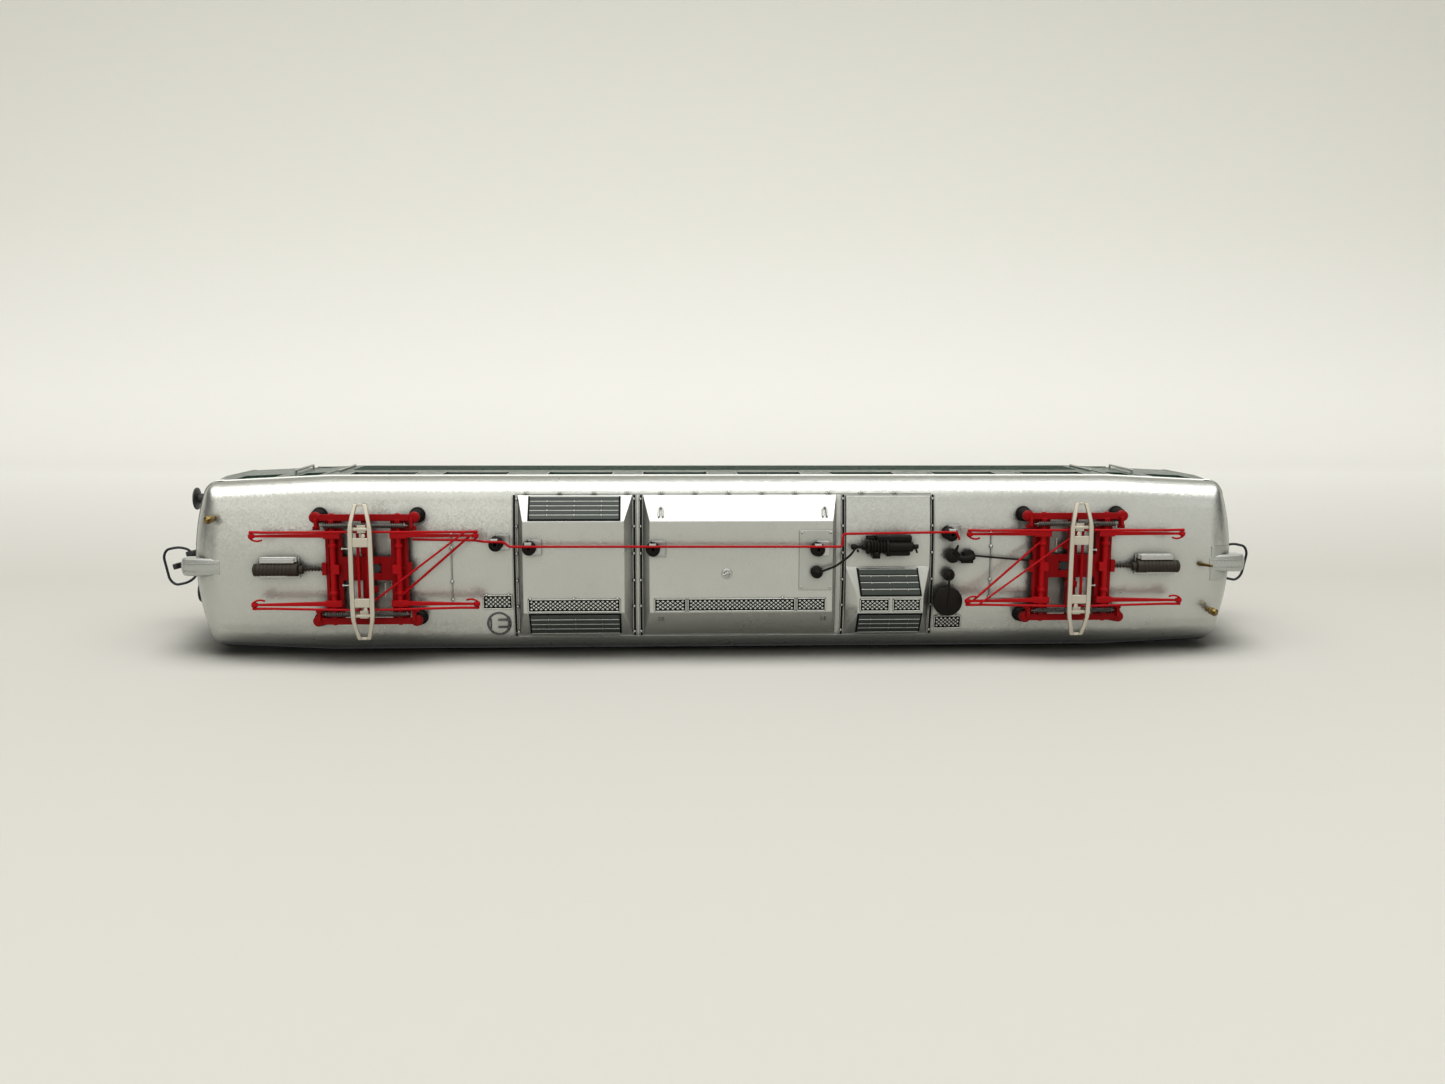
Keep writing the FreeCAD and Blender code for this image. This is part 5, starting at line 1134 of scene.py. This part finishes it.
def loop_form():
    """Wire loop of the coupling."""
    half, hinge, z = 4.0, 21.6, 9.2
    tip = hinge + 6.0
    right = [(hinge, 0.0), (hinge, 2.9), (hinge + 2.2, half), (tip - 1.0, half), (tip, half - 1.4)]
    path = [(x, y, z) for x, y in right + [(x, -y) for x, y in reversed(right)]]
    return Form().tube(rounded_path(path, 1.2, 6), 0.28, 12)


def coupler_head_form():
    """Shank of the coupling with its eye, box and hook."""
    form = Form()
    z = 8.6
    form.lathe([(2.0, z - 0.7), (2.0, z + 0.7), (1.06, z + 0.72), (1.05, z - 0.72)], (0, 0, 0), sides=28)
    form.box(1.9, 20.0, -1.2, 1.2, z - 0.7, z + 0.7)
    form.box(3.0, 19.0, -0.5, 0.5, z + 0.6, z + 0.95)
    form.box(19.8, 23.0, -2.6, 2.6, z - 1.4, z + 0.2)
    for side in SIDES:
        form.box(20.6, 22.6, side * 1.7, side * 2.6, z + 0.1, z + 1.2)
    hook = [(22.6, -0.8), (26.0, -0.8), (26.0, 1.3), (25.2, 1.3), (24.6, 0.4), (22.6, 0.4)]
    return form.loft([[(x, y, z + dz) for x, dz in hook] for y in (-0.6, 0.6)])


def buffer_form():
    """Four buffers with the screws of their foot plates."""
    form = Form()
    profile = [(2.3, 104.9), (2.3, 105.4), (1.6, 105.5), (1.55, 108.6), (1.7, 108.7), (1.7, 108.95),
               (1.12, 109.0), (1.1, 111.0), (1.6, 111.25), (2.35, 111.45), (2.4, 111.6), (2.32, 111.8),
               (1.6, 111.93), (0.4, 112.0)]
    for y in (-10.06, 10.06):
        form.lathe(profile, (0, y, 12.1), ALONG, 32)
        for dy in (-1.7, 1.7):
            for dz in (-1.7, 1.7):
                form.lathe([(0.3, 104.8), (0.3, 105.55), (0.2, 105.65)], (0, y + dy, 12.1 + dz), ALONG, 8)
    return form.both(0)


# ------------------------------------------------------------------ body sides
BAYS = (-67.2, -49.1, -28.35, -9.45, 9.45, 28.35, 49.1, 67.2)
WINDOW_BAYS = (-28.35, 28.35)
BAY_Z = (29.5, 36.0)
DOOR_X = 81.8


def side_vents():
    """Slatted grilles in the vent openings of the body side."""
    form = Form()
    for x in BAYS:
        if x in WINDOW_BAYS:
            continue
        low, high = BAY_Z
        form.box(x - 6.4, x + 6.4, 16.1, 16.3, low, high)
        slats = 9
        pitch = (high - low) / slats
        for i in range(slats):
            slat = Form().box(x - 6.2, x + 6.2, -0.06, 0.06, -0.42 * pitch, 0.42 * pitch)
            form.join(slat.turned(-32, "X").moved(0, 16.72, low + (i + 0.5) * pitch))
        for z0, z1 in ((low, low + 0.22), (high - 0.22, high)):
            form.box(x - 6.4, x + 6.4, 16.3, 17.0, z0, z1)
        for x0 in (x - 6.4, x + 6.15, x - 0.12):
            form.box(x0, x0 + 0.25, 16.3, 17.0, low, high)
    return form.both(1)


def side_frames():
    """Bright frames of the window and vent bays, and the rubber of the cab windows."""
    form = Form()
    low, high = BAY_Z
    for x in BAYS:
        ring = [(x - 6.5, low - 0.1), (x + 6.5, low - 0.1), (x + 6.5, high + 0.1), (x - 6.5, high + 0.1)]
        path = rounded_path([(px, 17.22, pz) for px, pz in ring + ring[:2]], 0.7, 4)
        form.tube(path[1:-1], 0.16, 6)
    return form.both(1)


def door_lines():
    """Door seams, sill and the horizontal ribs below the waist."""
    form = Form()
    for end in SIDES:
        for x in (DOOR_X - 3.5, DOOR_X + 3.5):
            y = half_width(x)
            form.box(end * x - 0.07, end * x + 0.07, y - 0.02, y + 0.10, 14.0, 36.0)
        y = half_width(DOOR_X)
        form.box(end * 78.3, end * 85.3, y - 0.05, y + 0.12, 13.7, 14.1)
    for z in (15.0, 17.6, 20.2, 22.8):
        form.box(-75.5, 75.5, 17.15, 17.32, z, z + 0.22)
    return form.both(1)


# ------------------------------------------------------------------ build the pieces
def add_roof():
    """Everything on the roof and sides except the pantographs."""
    finished(roof_skin(), "roof_skin", SILVER, sharp=SKIN_SHARP, replaces="roof_shell")
    covers = hatch(FRONT).join(hatch(MIDDLE)).join(rear_hatch())
    finished(covers, "roof_hatch_covers", SILVER, 0.14, sharp=HATCH_SHARP,
             replaces="roof_hatches")
    finished(rear_panel(), "roof_rear_panel", SILVER, 0.08, sharp=HATCH_SHARP)
    # painted shade: dark strips stand for the shaded gaps
    finished(gap_lines(), "roof_gap_shade_lines", GAP_SHADE)
    finished(seams(), "roof_seam_lips", SILVER_FINE, 0.05)
    finished(hatch_fittings(), "roof_fittings", SILVER_FINE)
    finished(centre_screw(), "roof_centre_screw", STEEL)
    finished(mounting_plates(), "roof_mounting_plates", SILVER_FINE, 0.05)
    plates, pads = walkways()
    # painted shade: the dark plate shows between the pads as the shade in their grooves
    finished(plates, "roof_walkway_shade_plates", GAP_SHADE)
    finished(pads, "roof_walkway_pads", PADS)
    frames, slats, beads = louvres_piece()
    # painted shade: dark back and frame behind the slats
    finished(frames, "roof_louvre_shade_frames", GAP_SHADE, replaces="louvre_grilles")
    finished(slats, "roof_louvre_slats", LOUVRE)
    finished(beads, "roof_louvre_beads", SILVER_FINE)
    finished(side_vents(), "side_vent_slats", LOUVRE)
    finished(side_frames(), "side_bay_frames", SILVER_FINE)
    finished(door_lines(), "side_door_lines", GREEN)
    finished(round_hatch(), "roof_round_cover", CASTING)
    finished(air_pipes(), "roof_air_pipes", SILVER_FINE)
    finished(fairings(), "roof_lamp_fairings", FAIRING)
    finished(end_plate(), "roof_end_plate", SILVER_FINE)
    finished(insulators(), "roof_insulator_posts", MOULDING, replaces="roof_insulators")
    finished(conductor_wire(), "roof_conductor_wire", RED, replaces="roof_conductor")
    finished(conductor_clamps(), "roof_conductor_clamps", STEEL)
    finished(breaker(), "roof_breaker", MOULDING, 0.06, replaces="circuit_breaker")
    finished(transformer(), "roof_transformer", MOULDING, replaces="voltage_transformer")
    finished(drives(), "roof_drive_cylinders", DRIVE_BROWN, 0.05,
             replaces="pantograph_drives")
    finished(drive_plates(), "roof_drive_plates", STEEL, 0.06)
    finished(whistles_piece(), "roof_whistles", BRASS, replaces="whistles")


def at_both_ends(make):
    """The form at both pantographs."""
    return placed(make(), -1).join(placed(make(), 1))


def add_pantographs():
    finished(at_both_ends(panto_base), "pantograph_bases", RED_DARK, 0.08,
             replaces="pantograph_base_frames")
    finished(at_both_ends(panto_springs), "pantograph_coil_springs", SPRING,
             replaces="pantograph_springs")
    # painted shade: black disc in the centre recess
    finished(at_both_ends(panto_recess), "pantograph_centre_recess_shade", BLACK)
    finished(at_both_ends(panto_rods), "pantograph_cross_rods", STEEL)
    for name, end in ENDS:
        label = "pantograph_" + name
        for kind, make, bevel in (("lower", lower_half, 0.06), ("upper", upper_half, 0.0)):
            for number, form in ((1, make(False).mirrored(0)), (2, make(True))):
                node = "%s_%s_frame_%d" % (label, kind, number)
                arms = placed(form, end)
                finished(arms, node + "_arms", RED, bevel, node + "_body", replaces=node)
        node = label + "_head"
        body = node + "_body"
        finished(placed(head(), end), label + "_collector", NICKEL, 0.06, body, replaces=node)
        finished(placed(head_plates(), end), node + "_plates", NICKEL, 0.04, body)


def add_couplings():
    for name, end in ENDS:
        node = "coupler_%s_loop" % name
        loop = coupler_place(loop_form(), end)
        finished(loop, node + "_wire", BLACK_WIRE, body=node + "_body", replaces=node)
        node = "coupler_%s_head" % name
        shank = coupler_place(coupler_head_form(), end)
        finished(shank, node + "_shank", BLACK, 0.15, node + "_body", replaces=node)
    finished(buffer_form(), "buffer_set", BLACK, replaces="buffers")


# ------------------------------------------------------------------ finish of the carried-over CAD nodes
SLOTS = {
    "silver_roof": SILVER, "louvre_grey": LOUVRE, "green_body": GREEN, "red_gear": RED, "brass": BRASS,
    "insulator_brown": MOULDING, "clear_glazing": GLAZING, "bright_steel": STEEL, "diecast": CASTING,
    "black_plastic": BLACK, "board_green": BOARD, "cab_grey": CAB, "rotor_steel": ROTOR,
    "nickel_strip": NICKEL, "gear_plastic": ACETAL, "wheel_steel": WHEEL, "black_wire": BLACK_WIRE,
}


def dress_cad_nodes():
    """Give each CAD node that is carried over the material of its slot."""
    slot_of = {part["node"]: part["material_slot"] for part in frame["record"]["subparts"]}
    for node, obj in frame["nodes"].items():
        obj.data.materials.clear()
        obj.data.materials.append(LENS if node == "lamp_lenses" else SLOTS[slot_of[node]])
        obj.data.shade_smooth()
        obj.data.set_sharp_from_angle(angle=math.radians(CAD_SHARP))
        for polygon in obj.data.polygons:
            polygon.material_index = 0


# ------------------------------------------------------------------ stage, light and camera
# room brightness along the world's X and Y, as (direction, colour)
ROOM_X = ((-1.0, (0.06, 0.06, 0.06)), (-0.75, (0.25, 0.25, 0.24)), (-0.42, (1.10, 1.06, 0.98)),
          (0.0, (0.82, 0.82, 0.79)), (0.42, (1.30, 1.30, 1.26)), (0.8, (0.22, 0.22, 0.22)),
          (1.0, (0.05, 0.05, 0.05)))
ROOM_Y = ((-1.0, (0.7, 0.7, 0.7)), (-0.5, (0.7, 0.7, 0.68)), (0.0, (0.8, 0.8, 0.77)), (1.0, (1.0, 1.0, 0.99)))
BEHIND = srgb(227, 223, 215)
TABLE_Y = -17.75
TABLE_HALF_LENGTH = 1600.0
TABLE_ENDS = (900.0, 300.0, 0.0, -420.0)
BEND_RADIUS = 160.0
BEND_STEPS = 16
WALL_TOP = 1400.0
FOCAL_LENGTH = 1250.0 / 1445.0
CAMERA_PLACE = (-11.972, 39.291, 283.837)
CAMERA_TURNS = ((-0.048395, "Y"), (-0.142337, "X"), (0.0036655, "Z"))


def stage_material():
    """Pale seamless sweep, clear from behind; light from under the rails passes it to reach the -Y side.
    Painted shadow darkens it round the model; painted light brightens it behind the model and up the wall.
    """
    n = Surface("pale_sweep")
    depth = n.new("ShaderNodeSeparateXYZ", {0: n.place})
    tone = n.mix(n.spread(n.noise(1.3), 0.0, 1.0), srgb(187, 185, 179), srgb(191, 189, 183))
    # painted light: the floor behind the model is painted brighter, where the light falls strongest
    tone = n.mix(n.spread(depth.outputs["Z"], 1.0, 0.0, -0.36, -0.05), tone, srgb(238, 237, 233))
    # painted light: the wall is painted a little brighter than the floor in front of the model
    tone = n.mix(n.spread(depth.outputs["Y"], 0.0, 1.0, 0.02, 0.40), tone, srgb(206, 205, 198))
    # painted shadow: the table goes dark grey close round the model, where its shade falls
    tone = n.mix(n.openness(0.014, 0.50, 0.90), srgb(56, 56, 50), tone)
    n.set(Base_Color=tone, Roughness=0.75)
    geometry = n.new("ShaderNodeNewGeometry")
    incoming = n.new("ShaderNodeSeparateXYZ", {0: geometry.outputs["Incoming"]})
    from_below = n.spread(incoming.outputs["Z"], 0.0, 1.0, 0.30, 0.45)
    shadow_ray = n.new("ShaderNodeLightPath").outputs["Is Shadow Ray"]
    passing = n.new("ShaderNodeMath", {0: from_below, 1: shadow_ray}, operation="MULTIPLY").outputs[0]
    behind = geometry.outputs["Backfacing"]
    either = n.new("ShaderNodeMath", {0: behind, 1: passing}, operation="MAXIMUM").outputs[0]
    clear = n.new("ShaderNodeBsdfTransparent").outputs[0]
    blend = n.new("ShaderNodeMixShader", {0: either, 1: n.shader.outputs[0], 2: clear})
    n.feed(n.out.inputs[0], blend.outputs[0])
    return n.material


def sweep():
    """Table under the -Y side that curves up into the wall behind."""
    profile = [(TABLE_Y, z) for z in TABLE_ENDS]
    for i in range(1, BEND_STEPS + 1):
        a = math.pi / 2 * i / BEND_STEPS
        rise, back = BEND_RADIUS * (1 - math.cos(a)), BEND_RADIUS * math.sin(a)
        profile.append((TABLE_Y + rise, TABLE_ENDS[-1] - back))
    profile.append((WALL_TOP, TABLE_ENDS[-1] - BEND_RADIUS))
    verts = [(x, y, z) for y, z in profile for x in (-TABLE_HALF_LENGTH, TABLE_HALF_LENGTH)]
    faces = [(2 * i, 2 * i + 1, 2 * i + 3, 2 * i + 2) for i in range(len(profile) - 1)]
    mesh_object("sweep", verts, faces, stage_material())


def area_light(name, place, target, width, height, power, colour=(1, 1, 1)):
    """Soft lamp; places and sizes in millimetres."""
    data = bpy.data.lights.new(name, "AREA")
    data.shape = "RECTANGLE"
    data.size, data.size_y = width * MM, height * MM
    data.energy = power
    data.color = colour
    obj = added(name, data)
    obj.location = Vector(place) * MM
    obj.rotation_euler = (Vector(target) - Vector(place)).to_track_quat("-Z", "Y").to_euler()


def surroundings():
    """Soft room light: pale overhead and behind the camera, dim to both ends of the model."""
    world = bpy.data.worlds.new("room")
    bpy.context.scene.world = world
    n = Nodes(world, "ShaderNodeOutputWorld")
    direction = n.new("ShaderNodeSeparateXYZ", {0: n.new("ShaderNodeTexCoord").outputs["Generated"]})
    ramps = []
    for axis, stops in (("X", ROOM_X), ("Y", ROOM_Y)):
        ramp = n.new("ShaderNodeValToRGB", {0: n.spread(direction.outputs[axis], 0.0, 1.0, -1.0, 1.0)})
        while len(ramp.color_ramp.elements) < len(stops):
            ramp.color_ramp.elements.new(0.5)
        for element, (position, colour) in zip(ramp.color_ramp.elements, stops):
            element.position = (position + 1) / 2
            element.color = colour + (1,)
        ramps.append(ramp.outputs[0])
    room = n.mix(1.0, *ramps, "MULTIPLY")
    seen = n.mix(n.new("ShaderNodeLightPath").outputs["Is Camera Ray"], room, BEHIND)
    back = n.new("ShaderNodeBackground", {0: seen, 1: 1.0})
    n.feed(n.out.inputs[0], back.outputs[0])


def camera():
    data = bpy.data.cameras.new("camera")
    data.sensor_width = 36.0
    data.lens = FOCAL_LENGTH * data.sensor_width
    data.clip_start, data.clip_end = 0.01, 20.0
    obj = added("camera", data)
    place = Matrix.Translation(Vector(CAMERA_PLACE) * MM)
    for angle, axis in CAMERA_TURNS:
        place = place @ Matrix.Rotation(angle, 4, axis)
    obj.matrix_world = place
    bpy.context.scene.camera = obj


add_roof()
add_pantographs()
add_couplings()
dress_cad_nodes()
sweep()
surroundings()
area_light("ceiling", (0, 480, 215), (0, 0, 20), 1100, 460, 3.6, (0.99, 1.0, 0.995))
area_light("under_fill", (0, -480, -430), (0, -10, 15), 900, 500, 5.0)
area_light("room", (-120, 240, 620), (0, 0, 30), 500, 300, 0.3, (1.0, 0.985, 0.96))
camera()
bpy.context.scene.view_settings.view_transform = "Standard"
